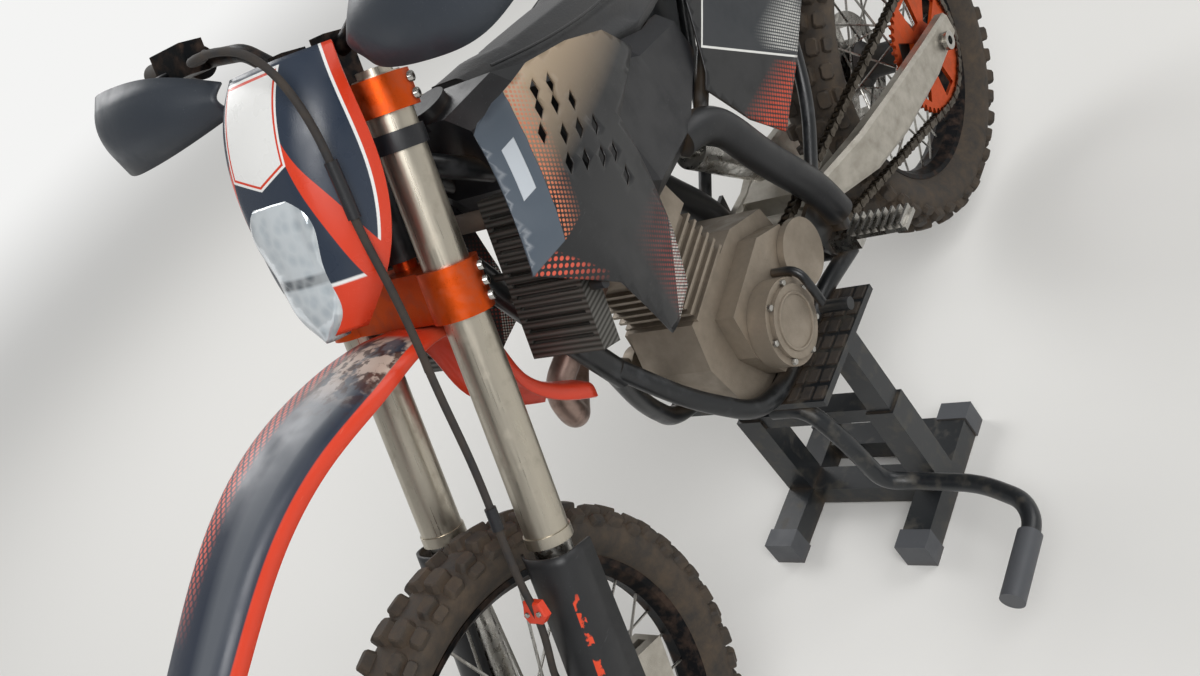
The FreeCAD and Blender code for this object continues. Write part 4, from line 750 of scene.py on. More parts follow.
def new_piece(name, shape, finish, body, replaced=(), angle=None):
    """A piece from points and groups of faces, in place, with its finish and its body.

    It is shaded smooth but for edges sharper than an angle in degrees, or flat where none is given."""
    vertices, faces = shape
    mesh = bpy.data.meshes.new(name)
    sizes = np.concatenate([np.full(len(group), group.shape[1]) for group in faces])
    corners = np.concatenate([group.ravel() for group in faces])
    mesh.vertices.add(len(vertices))
    mesh.vertices.foreach_set("co", np.ascontiguousarray(vertices, np.float32).ravel())
    mesh.loops.add(len(corners))
    mesh.loops.foreach_set("vertex_index", corners.astype(np.int32))
    mesh.polygons.add(len(sizes))
    mesh.polygons.foreach_set("loop_start", np.concatenate([[0], np.cumsum(sizes)[:-1]]).astype(np.int32))
    mesh.update(calc_edges=True)
    if angle:
        mesh.shade_smooth()
        mesh.set_sharp_from_angle(angle=math.radians(angle))
    else:
        mesh.shade_flat()
    mesh.materials.append(FINISHES[finish])
    piece = add_object(name, mesh)
    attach(piece, body)
    if replaced:
        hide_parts(*replaced)
    return piece


def give_wall(piece, wall, even=False):
    """The wall of a moulded sheet, made inwards from its outer face."""
    thick = piece.modifiers.new("wall", "SOLIDIFY")
    thick.thickness = wall
    thick.offset = -1.0
    thick.use_even_offset = even


def panel(name, grid, core, finish, replaced, wall=0.004, angle=45):
    """A moulded sheet that rides on the steering: a grid of points, facing away from a core point.

    Its map "place" gives real metres, along the rows and across from the middle column, and its map
    "edge" the distance from the nearer side edge and from the first row."""
    rows, columns = grid.shape[:2]
    vertices = grid.reshape(-1, 3)
    faces = grid_faces(rows, columns)
    a, b, c = (vertices[faces[:, i]] for i in range(3))
    facing = np.einsum("ij,ij->", np.cross(b - a, c - a), (a + c) / 2 - np.asarray(core))
    if facing < 0:
        faces = faces[:, ::-1]
    piece = new_piece(name, (vertices, [faces]), finish, "steering", replaced, angle)
    across = lengths(grid.swapaxes(0, 1)).T
    along = np.repeat(lengths(grid[:, columns // 2])[:, None], columns, 1)
    from_middle = across - across[:, columns // 2, None]
    from_edge = np.minimum(across, across[:, -1:] - across)
    for label, pair in (("place", (along, from_middle)), ("edge", (from_edge, along))):
        values = np.stack([part.ravel() for part in pair], 1)[faces.ravel()]
        piece.data.uv_layers.new(name=label).data.foreach_set("uv", values.astype(np.float32).ravel())
    give_wall(piece, wall, even=True)


# Pieces


def tyre_section(form, angle):
    """Points (from the axle, sideways) on a tyre's section at angles from the crown, -180 to 180 degrees.

    From the crown to the widest place it is a superellipse of power 2.3, and from there to the bead a
    parabola. The form is the tyre's radius and width, the radius of its seat on the rim, half the width
    between its beads, and the height of its blocks."""
    radius, width, seat, bead, knob = form
    crown = radius - knob
    # The side blocks stand out by less than the crown's, and the widest place is 6 mm out of the middle
    wall = width / 2 - 0.4 * knob
    belly = (seat + crown) / 2 + 0.006
    turn = np.radians(np.abs(angle))
    power = 2 / 2.3
    upper = np.clip(turn, 0, math.pi / 2)
    reach = belly + (crown - belly) * np.cos(upper).clip(0, 1) ** power
    offset = wall * np.sin(upper) ** power
    share = np.clip(turn / (math.pi / 2) - 1, 0, 1)
    reach = np.where(turn > math.pi / 2, belly - (belly - seat) * share, reach)
    offset = np.where(turn > math.pi / 2, bead + (wall - bead) * (1 - share ** 2), offset)
    return np.stack([reach, np.sign(angle) * offset], -1)


def knob_shape(wide, length, height):
    """Tread block: a rectangle with cut corners that starts 4 mm down in the carcass and narrows upwards."""
    half_long, half_wide, cut = length / 2, wide / 2, 0.22 * min(wide, length)
    sunk, chamfer = 0.004, 0.0018
    corner = np.array([(half_long, half_wide - cut), (half_long - cut, half_wide)])
    outline = np.vstack([corner, corner[::-1] * (-1, 1), -corner, corner[::-1] * (1, -1)])
    return stepped(outline, (-sunk, height - chamfer, height), (1.1, 0.95, 0.84))


def tyre_shape(form, rows, count):
    """Carcass turned about the axle, closed at the bore, and rows of blocks on its normals.

    A row is repeated by turns of a pitch: its angle from the crown, width, length, height and phase."""
    around = 57
    shapes = [turned_shape(tyre_section(form, np.linspace(-180, 180, around)), 6 * count)]
    for angle, wide, length, height, phase in rows:
        turn = turns(count, phase)
        ahead = np.stack([np.cos(turn), np.zeros(count), np.sin(turn)], 1)
        rolling = np.stack([np.sin(turn), np.zeros(count), -np.cos(turn)], 1)
        for side in SIDES.values():
            spot = tyre_section(form, np.array([side * angle - 1, side * angle + 1]))
            along, middle = unit(spot[1] - spot[0]), spot.mean(0)
            axes = np.stack([rolling, along[0] * ahead + along[1] * LEFT,
                             along[1] * ahead - along[0] * LEFT], 1)
            block = knob_shape(wide / 1000, length / 1000, height / 1000)
            shapes.append(repeated(block, middle[0] * ahead + middle[1] * LEFT, axes))
    return joined(shapes)


class MOTORCYCLE_OT_tyres(bpy.types.Operator):
    """Knobbly tyres on both wheels"""

    bl_idname = "motorcycle.tyres"
    bl_label = "Tyres"

    def execute(self, context):
        sizes = context.scene.motorcycle_sizes
        # columns: angle from the crown, width, length and height in mm, phase in pitches
        front = ((17, 22, 31, 13, 0.0), (36, 16, 27, 12, 0.5), (55, 17, 24, 11, 0.0), (66, 14, 22, 8, 0.5))
        rear = ((14, 27, 34, 15, 0.0), (33, 21, 30, 14, 0.5), (52, 22, 28, 12, 0.0), (64, 17, 26, 9, 0.5))
        for name, axle, rows, count, knob in (
                ("front", FRONT_AXLE, front, 28, sizes.front_knob),
                ("rear", REAR_AXLE, rear, 22, sizes.rear_knob)):
            tyre = np.ptp(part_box(name + "_tyre"), axis=0)
            rim = np.ptp(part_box(name + "_rim"), axis=0)
            # The bead sits 2 mm down in the rim and 4 mm in from its edges
            form = (tyre[0] / 2, tyre[1], rim[0] / 2 - 0.002, rim[1] / 2 - 0.004, knob)
            vertices, faces = tyre_shape(form, rows, count)
            new_piece(name + "_tyre_rubber", (vertices + axle, faces), "tyre_rubber", name + "_wheel",
                      (name + "_tyre",), angle=32)
        return {"FINISHED"}


CHAIN_PITCH = 0.015875
REAR_TEETH, FRONT_TEETH = 48, 14
FRONT_SPROCKET = (640, 0, 440)


def chain_belt():
    """The chain's line in X and Z: round the rear sprocket, then round the front one and back."""
    rear_radius, front_radius = (
        CHAIN_PITCH / 2 / math.sin(math.pi / teeth) for teeth in (REAR_TEETH, FRONT_TEETH))
    rear, front = REAR_AXLE, on_bike(FRONT_SPROCKET)
    run = front - rear
    tilt = math.atan2(run[2], run[0])
    spread = math.acos((rear_radius - front_radius) / math.hypot(run[0], run[2]))
    rear_turn = tilt + np.linspace(spread, 2 * math.pi - spread, 90)
    front_turn = tilt + np.linspace(-spread, spread, 40)
    arcs = [np.stack([middle[0] + radius * np.cos(turn), middle[2] + radius * np.sin(turn)], 1)
            for middle, radius, turn in ((rear, rear_radius, rear_turn), (front, front_radius, front_turn))]
    return np.vstack(arcs + [arcs[0][:1]])


class MOTORCYCLE_OT_chain(bpy.types.Operator):
    """Roller chain round both sprockets, link by link"""

    bl_idname = "motorcycle.chain"
    bl_label = "Chain"

    def execute(self, context):
        belt = chain_belt()
        run = lengths(belt)
        count = 2 * round(run[-1] / CHAIN_PITCH / 2)
        spots = np.linspace(0, run[-1], count + 1)
        pins = np.stack([np.interp(spots, run, belt[:, axis]) for axis in (0, 1)], 1)
        low, high = np.array(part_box("chain"))
        middle, pin_half = (low[1] + high[1]) / 2, (high[1] - low[1]) / 2

        def level_with(points, offset):
            """Points in X and Z with the same Y."""
            return np.stack([points[:, 0], np.full(count, offset), points[:, 1]], 1)

        heading = np.diff(pins, axis=0)
        half = float(np.linalg.norm(heading, axis=1).mean()) / 2
        along, across = level_with(unit(heading), 0.0), np.tile(LEFT, (count, 1))
        axes = np.stack([along, np.cross(across, along), across], 1)
        links = level_with((pins[1:] + pins[:-1]) / 2, middle)
        joints = level_with(pins[:-1], middle)
        # Side plate: a round end about each pin and a waist between them
        plate_end, waist, wall, inner, outer = 0.0068, 0.0048, 0.0016, 0.0048, 0.0066
        turn = np.radians(np.linspace(-115, 115, 7))
        end_arc = np.stack([half + plate_end * np.cos(turn), plate_end * np.sin(turn)], 1)
        outline = np.vstack([end_arc, [(0, waist)], -end_arc, [(0, -waist)]])
        shapes = []
        for first, gap in ((0, inner), (1, outer)):
            for side in SIDES.values():
                plate = stepped(outline, (side * gap, side * (gap + wall)), (1, 1))
                shapes.append(repeated(plate, links[first::2], axes[first::2]))
        # Rollers, then the pins through them
        for radius, reach in ((0.005, 0.0046), (0.0025, pin_half)):
            shapes.append(repeated(stepped(polygon(8, radius), (-reach, reach), (1, 1)), joints, axes))
        new_piece("chain_links", joined(shapes), "oiled_chain_steel", "chassis", ("chain",), angle=35)
        return {"FINISHED"}


def inside(points, outline):
    """Which points lie in an outline, by counting the edges that a line from each to the right crosses."""
    begin = np.asarray(outline, float)
    end = np.roll(begin, -1, 0)
    x, z = points[:, None, 0], points[:, None, 1]
    spans = (begin[:, 1] > z) != (end[:, 1] > z)
    cross = begin[:, 0] + (z - begin[:, 1]) * (end[:, 0] - begin[:, 0]) / (end[:, 1] - begin[:, 1] + 1e-12)
    return (spans & (x < cross)).sum(1) % 2 == 1


def ahead_of(points, start, end):
    """Distance of points (X, Z) ahead of a line that runs down from start to end."""
    along = unit(np.subtract(end, start))
    return (points - start) @ np.array([-along[1], along[0]])


def station_depth(points, stations):
    """Y at places (X, Z): a polynomial through each station's rows, straight from station to station."""
    values = []
    for x, rows in stations:
        offset, level = np.array(rows, float).T
        total = np.zeros(len(points))
        for i in range(len(level)):
            others = np.delete(level, i)
            total += offset[i] * np.prod((points[:, 1:] - others) / (level[i] - others), axis=1)
        values.append(total)
    columns = np.array([x for x, rows in stations], float)
    at = np.clip(np.searchsorted(columns, points[:, 0]) - 1, 0, len(columns) - 2)
    share = np.clip((points[:, 0] - columns[at]) / (columns[at + 1] - columns[at]), 0, 1)
    values, each = np.array(values), np.arange(len(points))
    return values[at, each] * (1 - share) + values[at + 1, each] * share


def divided(loop, step):
    """A closed loop of corners with more points on its edges, no closer than a step."""
    loop = np.asarray(loop, float)
    parts = []
    for begin, end in zip(loop, np.roll(loop, -1, 0)):
        count = max(int(np.linalg.norm(end - begin) / step), 1)
        parts.append(begin + (end - begin) * np.arange(count)[:, None] / count)
    return np.vstack(parts)


def cut_sheet(name, outline, holes, depth, side, finish, replaced):
    """Moulded sheet on one side: an outline and its cut-outs in X and Z, filled with triangles and bent."""
    spacing, hole_spacing, wall = 12.0, 40.0, 0.0035
    loops = [divided(outline, spacing)] + [divided(hole, hole_spacing) for hole in holes]
    low, high = loops[0].min(0), loops[0].max(0)
    xs, zs = np.meshgrid(np.arange(low[0], high[0], spacing), np.arange(low[1], high[1], spacing))
    inner = np.stack([xs.ravel(), zs.ravel()], 1)
    inner = inner[inside(inner, outline)]
    edges, start = [], 0
    for loop in loops:
        index = start + np.arange(len(loop))
        edges += list(zip(index.tolist(), np.roll(index, -1).tolist()))
        start += len(loop)
    flat = [Vector(point) for point in np.vstack(loops + [inner])]
    made = delaunay_2d_cdt(flat, edges, [], 0, 1e-4)
    points = np.array([tuple(point) for point in made[0]])
    faces = np.array([face for face in made[2] if len(face) == 3])
    centre = points[faces].mean(1)
    keep = inside(centre, outline)
    for hole in holes:
        keep &= ~inside(centre, hole)
    used, faces = np.unique(faces[keep], return_inverse=True)
    points, faces = points[used], faces.reshape(-1, 3)
    vertices = on_bike(np.stack([points[:, 0], side * depth(points), points[:, 1]], 1))
    # The triangles face the right side of the bike as they come
    piece = new_piece(name, (vertices, [faces[:, ::-1] if side > 0 else faces]), finish, "chassis",
                      replaced, angle=30)
    give_wall(piece, wall)


# Places in X and Z on the side of the bike, mm: the shroud's two creases, its outline and its cut-outs,
# the side panel's outline, and with Y the middle line of the frame's spar
FOLD_START, FOLD_END, FOLD_LOW = (969, 1042), (1075, 883), (985, 640)
SHROUD_NOSE, SHROUD_FOOT = (1130, 884), (1006, 650)
SHROUD_OUTLINE = ((918, 1030), (994, 1034), (1036, 1026), SHROUD_NOSE, (1046, 782), SHROUD_FOOT, (930, 662),
                  (900, 730), (860, 890), (730, 908), (764, 962), (840, 1002))
# Middles of the cut-outs, and the corners of one from its middle
CUT_OUTS = ((942, 1006), (916, 994), (959, 990), (936, 977), (910, 960), (985, 972), (961, 949), (936, 936),
            (910, 919), (988, 926), (964, 909), (938, 891), (914, 877), (922, 845))
CUT_OUT = ((-12, 10), (5, 5), (12, -10), (-5, -5))
SIDE_OUTLINE = ((556, 864), (612, 772), (632, 758), (586, 660), (532, 588), (500, 604), (420, 640),
                (325, 684), (150, 800), (170, 862))
SPAR_LINE = ((712, 96, 738), (667, 106, 724), (614, 110, 635), (573, 110, 547), (539, 110, 475),
             (523, 110, 409))


def shroud_depth(points):
    """The shroud's bulge, folded inwards ahead of two straight creases."""
    # columns: X, and the rows of Y and Z there
    stations = (
        (700, ((120, 600), (128, 720), (134, 860), (120, 1060))),
        (830, ((140, 600), (158, 720), (170, 880), (138, 1060))),
        (930, ((150, 600), (172, 720), (188, 880), (152, 1060))),
        (1040, ((166, 600), (192, 740), (200, 880), (150, 1060))),
        (1150, ((180, 600), (202, 740), (202, 880), (168, 1060))))
    slope = 0.42
    ahead = np.where(points[:, 1] > FOLD_END[1], ahead_of(points, FOLD_START, FOLD_END),
                     ahead_of(points, FOLD_END, FOLD_LOW))
    return station_depth(points, stations) - slope * np.clip(ahead, 0, None)


def side_depth(points):
    """The side panel's gentle bulge."""
    # columns: X, and the rows of Y and Z there
    stations = (
        (120, ((118, 640), (122, 760), (116, 900))), (420, ((124, 540), (128, 700), (118, 900))),
        (640, ((112, 540), (120, 700), (120, 900))))
    return station_depth(points, stations)


def shroud_studs(side):
    """Two round studs from just off the radiator's outer face into the shroud's wall."""
    radius, gap, sunk = 0.007, 0.0003, 2
    radiator_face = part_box("radiators")[1][1] + gap
    shapes = []
    for x, z in ((1062, 800), (1024, 890)):
        shroud = float(shroud_depth(np.array([[x, z]], float))[0])
        far = on_bike((x, shroud - sunk, z))
        near = np.array([far[0], radiator_face, far[2]])
        shapes.append(pipe(np.array([near, far]) * (1, side, 1), radius, sides=16))
    return joined(shapes)


class MOTORCYCLE_OT_covers(bpy.types.Operator):
    """Radiator shrouds with their cut-outs and the covers under the seat, on both sides"""

    bl_idname = "motorcycle.covers"
    bl_label = "Covers"

    def execute(self, context):
        holes = [np.add(CUT_OUT, middle) for middle in CUT_OUTS]
        for name, side in SIDES.items():
            cut_sheet("shroud_skin_" + name, SHROUD_OUTLINE, holes, shroud_depth, side, "shroud_film",
                      ("shroud_" + name,))
            cut_sheet("side_skin_" + name, SIDE_OUTLINE, [], side_depth, side, "side_film",
                      ("side_panel_" + name,))
            # Round moulded cover on the spar; the solids have both sides in one node
            spar = pipe(on_bike(SPAR_LINE) * (1, side, 1), radius=0.027, sides=24, count=60)
            new_piece("frame_cover_" + name, spar, "frame_cover_plastic", "chassis",
                      ("frame_guards",) if side > 0 else (), angle=50)
            new_piece("shroud_studs_" + name, shroud_studs(side), "black_moulded_plastic", "chassis",
                      angle=40)
        return {"FINISHED"}


def fender_grid():
    """Front fender: crown heights and half widths by station, rounded across and splined along."""
    # columns: A, T of the crown, half width, depth of the sides
    stations = ((-190, 446, 52, 22), (-130, 470, 56, 24), (-82, 508, 58, 26), (-48, 576, 62, 22),
                (0, 605, 66, 12), (66, 615, 72, 18), (160, 600, 84, 28), (260, 566, 79, 32),
                (350, 508, 68, 34), (430, 425, 62, 32), (520, 320, 60, 26), (590, 240, 50, 16),
                (612, 212, 34, 8))
    slope = np.gradient(np.array(stations, float)[:, :2], axis=0)
    rows = []
    for (ahead, level, half, depth), lean in zip(stations, np.arctan2(slope[:, 1], slope[:, 0])):
        sheet = both_halves(((-depth, half), (-0.2 * depth, 0.86 * half), (0, 0.5 * half)), (4, 0))
        rows.append([(ahead - drop * math.sin(lean), across, level + drop * math.cos(lean))
                     for drop, across in sheet])
    return on_steering(filleted(spline(rows, 90), 24, 6))


def mask_grid():
    """Headlight mask: a C-shaped sheet from the left edge round the front to the right edge."""
    # columns: T, half width of the front, A of the front, half width at the sides, A of the sides
    stations = ((646, 20, 140, 46, 116), (700, 48, 142, 98, 104), (754, 56, 145, 124, 94),
                (808, 58, 148, 128, 84), (920, 52, 122, 118, 80), (950, 46, 104, 102, 66))
    bulge = 3
    rows = [both_halves(((side, half, level), (front, middle, level)), (front + bulge, 0, level))
            for level, middle, front, half, side in stations]
    return on_steering(filleted(spline(rows, 60), 14, 6))


def lens_grid():
    """Headlamp glass: wide at the top, pointed below, bulging from the mask."""
    # columns: T, half width, A of the face
    stations = ((640, 9, 143), (664, 34, 147), (725, 47, 151), (780, 57, 154), (806, 50, 150))
    depth, bevel, bulge = 26, 5, 3
    rows = [both_halves(((front - depth, half + 1, level), (front - bevel, half, level),
                         (front, 0.6 * half, level)), (front + bulge, 0, level))
            for level, half, front in stations]
    return on_steering(filleted(spline(rows, 40), 10, 5))


def handguard_grid(side):
    """Hand shield on one side: a splined blade folded along its middle."""
    # columns: Y, A at the middle, lowest T, highest T
    stations = ((132, 70, 918, 958), (190, 104, 902, 986), (290, 120, 890, 1000),
                (360, 104, 900, 1000), (396, 74, 930, 996), (414, 20, 962, 998))
    low_lip, fold, high_lip = -16, 2, -14
    rows = []
    for across, ahead, low, high in stations:
        middle, height = (low + high) / 2, high - low
        rows.append([(ahead + lean, across * side, level) for lean, level in (
            (low_lip, low), (fold, middle - 0.12 * height), (fold, middle + 0.18 * height),
            (high_lip, high))])
    return on_steering(filleted(spline(rows, 48), 16, 6))


def fork_guard_grid(side):
    """Shield round the front and outside of one lower fork leg."""
    # columns: level, reach ahead, half width inside, half width outside, reach back
    stations = ((-42, 58, 22, 38, 2), (20, 52, 22, 42, 22), (150, 44, 23, 44, 28), (316, 38, 34, 42, 24))
    rows = []
    for level, front, inner, outer, back in stations:
        corner = 0.62 * front
        rows.append([(FORK_LEAD + ahead, (FORK_SPACING + across) * side, level) for ahead, across in (
            (-back, outer), (corner, outer), (front, 0.45 * outer), (front, -0.45 * inner),
            (corner, -inner))])
    return on_steering(filleted(spline(rows, 30), 13, 6))


class MOTORCYCLE_OT_plastics(bpy.types.Operator):
    """Smooth moulded guards: fender, headlight mask and lens, hand and fork guards"""

    bl_idname = "motorcycle.plastics"
    bl_label = "Plastics"

    def execute(self, context):
        panel("fender_skin", fender_grid(), on_steering((100, 0, 400)), "fender_film",
              ("front_fender",), angle=50)
        panel("mask_skin", mask_grid(), on_steering((40, 0, 800)), "mask_film", ("headlight_mask",))
        panel("lens_glass", lens_grid(), on_steering((60, 0, 730)), "clear_polycarbonate_lens",
              ("headlight_lens",), wall=0.003)
        for name, side in SIDES.items():
            # The solids have both sides of these in one node, which the left piece replaces
            panel("handguard_" + name, handguard_grid(side), on_steering((0, 280 * side, 950)),
                  "grey_blue_moulded_plastic", ("handguards",) if side > 0 else ())
            panel("fork_guard_" + name, fork_guard_grid(side),
                  on_steering((FORK_LEAD, FORK_SPACING * side, 100)), "fork_guard_film",
                  ("fork_guards",) if side > 0 else (), wall=0.0035)
        return {"FINISHED"}


def shown_mesh(item):
    """An object's mesh with its modifiers applied, as a mesh of its own."""
    return bpy.data.meshes.new_from_object(item.evaluated_get(bpy.context.evaluated_depsgraph_get()))


def vectors_of(mesh, key):
    """A vector of every vertex, as rows."""
    values = np.empty(len(mesh.vertices) * 3, np.float32)
    mesh.vertices.foreach_get(key, values)
    return values.reshape(-1, 3)


def add_cloth(piece, held, frames):
    """Cloth that is blown up like a cushion, with a group of vertices held."""
    cloth = piece.modifiers.new("cloth", "CLOTH")
    cloth.settings.quality = 4
    cloth.settings.use_pressure = True
    cloth.settings.uniform_pressure_force = 4.0
    cloth.settings.tension_stiffness = 20.0
    cloth.settings.compression_stiffness = 20.0
    cloth.settings.bending_stiffness = 2.0
    cloth.settings.vertex_group_mass = held
    cloth.settings.effector_weights.gravity = 0.0
    cloth.point_cache.frame_start, cloth.point_cache.frame_end = 1, frames
    return cloth


def soft_copy(node, name, swell, voxel, cap):
    """The cushion that a solid stands for: its mesh a little smaller, filled by cloth pressure.

    The copy is remeshed in voxels and drawn in by the swell, then blown up for 20 frames with its
    underside held, and no point may move further than the cap."""
    frames = 20
    work = add_object(name + "_form", NODES[node].data.copy())
    weld = work.modifiers.new("weld", "WELD")
    weld.merge_threshold = 0.0002
    remesh = work.modifiers.new("remesh", "REMESH")
    remesh.mode = "VOXEL"
    remesh.voxel_size = voxel
    remesh.use_smooth_shade = True
    shape = shown_mesh(work)
    bpy.data.objects.remove(work)
    points, normals = vectors_of(shape, "co"), vectors_of(shape, "normal")
    start = points - normals * swell
    shape.vertices.foreach_set("co", np.ascontiguousarray(start).ravel())
    piece = add_object(name, shape)
    held = piece.vertex_groups.new(name="underside")
    held.add(np.nonzero(normals[:, 2] < -0.55)[0].tolist(), 1.0, "REPLACE")
    cloth = add_cloth(piece, held.name, frames)
    for step in range(1, frames + 1):
        bpy.context.scene.frame_set(step)
    shift = vectors_of(shown_mesh(piece), "co") - start
    length = np.linalg.norm(shift, axis=1, keepdims=True)
    start = start + shift * np.minimum(1, cap / np.maximum(length, 1e-9))
    shape.vertices.foreach_set("co", np.ascontiguousarray(start, np.float32).ravel())
    bpy.context.scene.frame_set(1)
    piece.modifiers.remove(cloth)
    shape.update()
    return piece


class MOTORCYCLE_OT_seat(bpy.types.Operator):
    """Padded seat, filled by cloth pressure, with a sewn ridge along each top edge"""

    bl_idname = "motorcycle.seat"
    bl_label = "Seat"

    def execute(self, context):
        swell = context.scene.motorcycle_sizes.seat_swell
        piece = soft_copy("seat", "seat_cover", swell, voxel=0.006, cap=0.011)
        piece.data.materials.clear()
        piece.data.materials.append(FINISHES["calendered_seat_vinyl"])
        piece.data.shade_smooth()
        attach(piece, "chassis")
        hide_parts("seat")
        # columns: X, half width, highest Z of the seat's top edge
        stations = ((10, 88, 916), (150, 101, 932), (420, 101, 948), (640, 92, 952), (780, 66, 984),
                    (860, 48, 1014))
        for name, side in SIDES.items():
            seam = pipe(on_bike(stations) * (1, side, 1), radius=0.0022, sides=8, count=60)
            new_piece("seat_seam_" + name, seam, "calendered_seat_vinyl", "chassis", angle=60)
        return {"FINISHED"}


# Left clutch cover's middle on the bike in X and Z, mm
CLUTCH_COVER = (780, 426)


def cover_bolts():
    """Hexagon bolts round the rim of each engine cover, their heads outwards."""
    bolt = stepped(polygon(6, 0.0055), (-0.006, 0.0045, 0.0058), (1, 1, 0.84))
    places, normals = [], []
    # columns: X and Z of the cover's middle, reach of the bolts, how many, Y of its face, side
    for x, z, reach, count, face, side in ((*CLUTCH_COVER, 60, 7, 130, 1), (700, 440, 67, 8, -134, -1)):
        for angle in turns(count, 0.3):
            places.append(on_bike((x + reach * math.cos(angle), face, z + reach * math.sin(angle))))
            normals.append(side * LEFT)
    return repeated(bolt, places, facing_axes(normals))


def cover_ring():
    """Raised ring on the left cover's face."""
    profile = ((0.040, 0.0), (0.0405, 0.0022), (0.0425, 0.003), (0.0445, 0.0022), (0.045, 0.0))
    vertices, faces = turned_shape(profile, 48)
    return vertices + on_bike((CLUTCH_COVER[0], 137, CLUTCH_COVER[1])), faces


def platform_mat():
    """Raised squares of the rubber mat, over the top of the stand's platform."""
    low, high = np.array(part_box("stand_platform"))
    counts = np.array([7, 13])
    pitch = (high - low)[:2] / counts
    xs, ys = (low[axis] + (np.arange(counts[axis]) + 0.5) * pitch[axis] for axis in (0, 1))
    spots = np.stack(np.meshgrid(xs, ys, indexing="ij"), -1).reshape(-1, 2)
    places = np.column_stack([spots, np.full(len(spots), high[2])])
    half = 0.36 * pitch
    tile = stepped(half * ((1, 1), (-1, 1), (-1, -1), (1, -1)), (-0.0005, 0.0022, 0.0030), (1, 1, 0.86))
    return repeated(tile, places, np.tile(np.eye(3), (len(places), 1, 1)))


class MOTORCYCLE_OT_engine_detail(bpy.types.Operator):
    """Bolts and ring on the engine's covers, and the squares of the stand's rubber mat"""

    bl_idname = "motorcycle.engine_detail"
    bl_label = "Engine and stand detail"

    def execute(self, context):
        new_piece("cover_bolts", cover_bolts(), "ground_stainless_steel", "chassis", angle=35)
        new_piece("cover_ring", cover_ring(), "painted_engine_castings", "chassis", angle=40)
        new_piece("platform_mat", platform_mat(), "grip_rubber", "chassis")
        return {"FINISHED"}


def clamp_bolts():
    """Places and axes of the clamp bolts: level, on the outer rear of the rings round both tubes."""
    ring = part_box("lower_clamp")[1][1] * 1000 - FORK_SPACING
    turn = math.radians(118)
    ahead, aside = math.cos(turn), math.sin(turn)
    places, normals = [], []
    for level in (629, 647, 665, 868, 887):
        for side in SIDES.values():
            spot = (FORK_LEAD + ring * ahead, (FORK_SPACING + ring * aside) * side, level)
            places.append(on_steering(spot))
            normals.append(ahead * AXIS_AHEAD + aside * side * LEFT)
    return places, facing_axes(normals)


def fork_bands():
    """Moulded band round each fork tube, under the upper clamp."""
    profile = ((0.0292, -0.010), (0.0318, -0.011), (0.0322, 0.0), (0.0318, 0.011), (0.0292, 0.010))
    places = on_steering([(FORK_LEAD, FORK_SPACING * side, 826) for side in SIDES.values()])
    axes = np.array([AXIS_AHEAD, AXIS_UP, np.cross(AXIS_AHEAD, AXIS_UP)])
    return repeated(turned_shape(profile, 40), places, np.tile(axes, (2, 1, 1)))


# Brake hose from the right end of the bar down the front of the left leg to the caliper
HOSE_ROUTE = (
    (30, -180, 1000), (62, -140, 990), (126, -70, 982), (142, 30, 972), (144, 92, 930), (137, 104, 889),
    (130, 105, 846), (124, 104, 755), (114, 102, 693), (105, 100, 624), (99, 98, 548), (92, 98, 464),
    (90, 98, 386), (87, 99, 287), (84, 99, 264), (80, 90, 200), (62, 70, 150), (16, 62, 132),
    (-40, 66, 112))


class MOTORCYCLE_OT_fittings(bpy.types.Operator):
    """Clamp bolts, fork bands, and the brake hose with its sleeves and bracket"""

    bl_idname = "motorcycle.fittings"
    bl_label = "Fittings"

    def execute(self, context):
        places, axes = clamp_bolts()
        head = stepped(polygon(12, 0.0062), (-0.008, 0.004, 0.0052), (1, 1, 0.86))
        socket = stepped(polygon(6, 0.0031), (0.0045, 0.0056), (1, 0.9))
        new_piece("clamp_bolts", repeated(head, places, axes), "ground_stainless_steel", "steering", angle=35)
        new_piece("clamp_bolt_sockets", repeated(socket, places, axes), "black_anodised_aluminium",
                  "steering")
        new_piece("fork_bands", fork_bands(), "black_moulded_plastic", "steering", angle=40)

        hose = pipe(on_steering(HOSE_ROUTE), radius=0.0048, sides=12, count=120)
        new_piece("front_brake_hose", hose, "brake_hose_rubber", "steering", angle=60)
        # columns: radius of a sleeve, and its line down the hose
        sleeves = [pipe(on_steering(line), radius, sides=12, count=8) for radius, line in (
            (0.0075, ((128, 105, 830), (126, 104.5, 800), (124.5, 104, 765))),
            (0.0072, ((90.3, 98, 402), (90.1, 98, 388), (89.9, 98, 374))))]
        new_piece("hose_sleeves", joined(sleeves), "black_moulded_plastic", "steering", angle=40)

        # Orange bracket that holds the hose on the left fork guard, with two screws
        outline = np.array([(-20, -6), (-14, -15), (8, -15), (20, -4), (14, 14), (-12, 15)]) / 1000
        plate = stepped(outline, (-0.004, 0.004, 0.006), (1, 1, 0.86))
        axes = np.array([[LEFT, AXIS_UP, np.cross(LEFT, AXIS_UP)]])
        new_piece("hose_bracket", repeated(plate, on_steering([(82, 99, 262)]), axes),
                  "orange_moulded_plastic", "steering", angle=30)
        screw = stepped(polygon(8, 0.004), (0.0, 0.0022), (1, 0.8))
        screws = repeated(screw, on_steering([(88, 89, 260), (88, 109, 262)]), np.repeat(axes, 2, 0))
        new_piece("bracket_screws", screws, "ground_stainless_steel", "steering")
        return {"FINISHED"}


# Finishes, stage and panel


